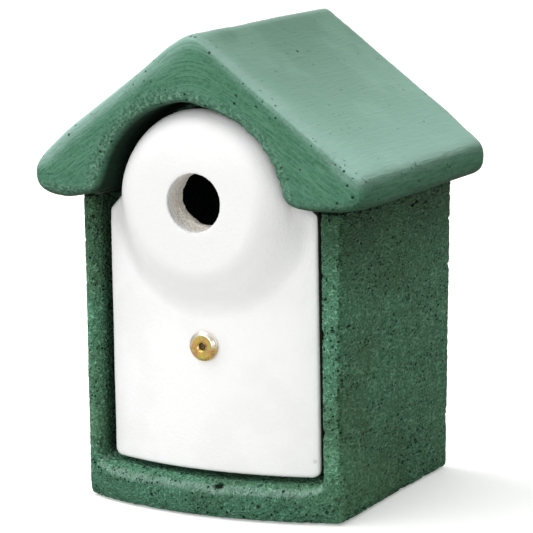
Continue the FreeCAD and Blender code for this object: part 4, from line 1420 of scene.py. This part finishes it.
# %% Floor
FLOOR_HALF = 12.0
FLOOR_GLOW = 0.3


def pale_floor():
    material, wiring, sockets, place = new_material("pale_floor")
    seen = wiring.take("Is Camera Ray", "ShaderNodeLightPath")
    wiring.feed(sockets["Base Color"], wiring.blend(seen, (0.55, 0.55, 0.54), (0.95, 0.95, 0.95)))
    wiring.feed(sockets["Emission Color"], wiring.blend(seen, (0.0, 0.0, 0.0), (1.0, 1.0, 1.0)))
    sockets["Emission Strength"].default_value = FLOOR_GLOW
    sockets["Roughness"].default_value = 0.9
    sockets["Specular IOR Level"].default_value = 0.0
    return material


sheet = bpy.data.meshes.new("floor")
corners = [(-FLOOR_HALF, -FLOOR_HALF, 0), (FLOOR_HALF, -FLOOR_HALF, 0)]
corners += [(FLOOR_HALF, FLOOR_HALF, 0), (-FLOOR_HALF, FLOOR_HALF, 0)]
sheet.from_pydata(corners, [], [(0, 1, 2, 3)])
sheet.materials.append(pale_floor())
floor = bpy.data.objects.new("floor", sheet)
bpy.context.scene.collection.objects.link(floor)
print("floor reaches", FLOOR_HALF, "m to each side")

# %% [markdown]
# ## Sky
# A photographer's white room surrounds the box: brighter above than at the horizon, with a bright
# backdrop behind. A picture of a real room could light the scene, but a few soft steps by direction do
# the same and stay adjustable. The right side is dimmer and a little warmer, as in the photograph.

# %% Sky
SKY_TOP = 0.8
SKY_EDGE = 0.4
BACKDROP = 0.55
DIM_EAST = 0.7
WHITE = (1.0, 1.0, 1.0)
WARM = (0.97, 1.0, 0.76)

world = bpy.data.worlds.new("sky")
world.use_nodes = True
bpy.context.scene.world = world
wiring = Wiring(world.node_tree)
east, north, height = wiring.parts(wiring.take("Generated", "ShaderNodeTexCoord"))
brightness = wiring.rise(height, 0.0, 0.7) * (SKY_TOP - SKY_EDGE) + SKY_EDGE
brightness = wiring.rise(north, 0.1, 0.8) * BACKDROP + brightness
brightness = brightness * (wiring.rise(east, 0.1, 0.8) * -DIM_EAST + 1.0)
background = world.node_tree.nodes["Background"].inputs
wiring.feed(background["Color"], wiring.blend(wiring.rise(east, 0.2, 0.9), WHITE, WARM))
wiring.feed(background["Strength"], brightness)
print("sky has", len(world.node_tree.nodes), "nodes")

# %% [markdown]
# ## Soft lights
# A large soft light stands in front, as a lamp with a wide screen would. A smaller one higher up models
# the boss from above, one on the right opens the right post and wall, and one from the top left
# brightens the slopes. All are round and aim at the middle of the box.

# %% Soft lights
LIGHT_DISTANCE = 2.5
LIGHTS = [
    ("front_light", (-0.15, -0.95, 0.25), 1.8, 20.2),
    ("high_light", (-0.40, -0.43, 0.81), 1.2, 12.0),
    ("right_light", (0.52, -0.84, 0.14), 1.0, 9.5),
    ("top_light", (-0.44, 0.0, 0.9), 1.4, 26.0),
]

for name, direction, width, power in LIGHTS:
    lamp = bpy.data.lights.new(name, "AREA")
    lamp.shape = "DISK"
    lamp.size = width
    lamp.energy = power
    light = bpy.data.objects.new(name, lamp)
    away = Vector(direction).normalized()
    aim = away.to_track_quat("Z", "Y").to_matrix().to_4x4()
    light.matrix_world = Matrix.Translation(LOOK_AT + away * LIGHT_DISTANCE) @ aim
    bpy.context.scene.collection.objects.link(light)
bpy.context.scene.view_settings.view_transform = "Standard"
print("made", len(LIGHTS), "soft lights")
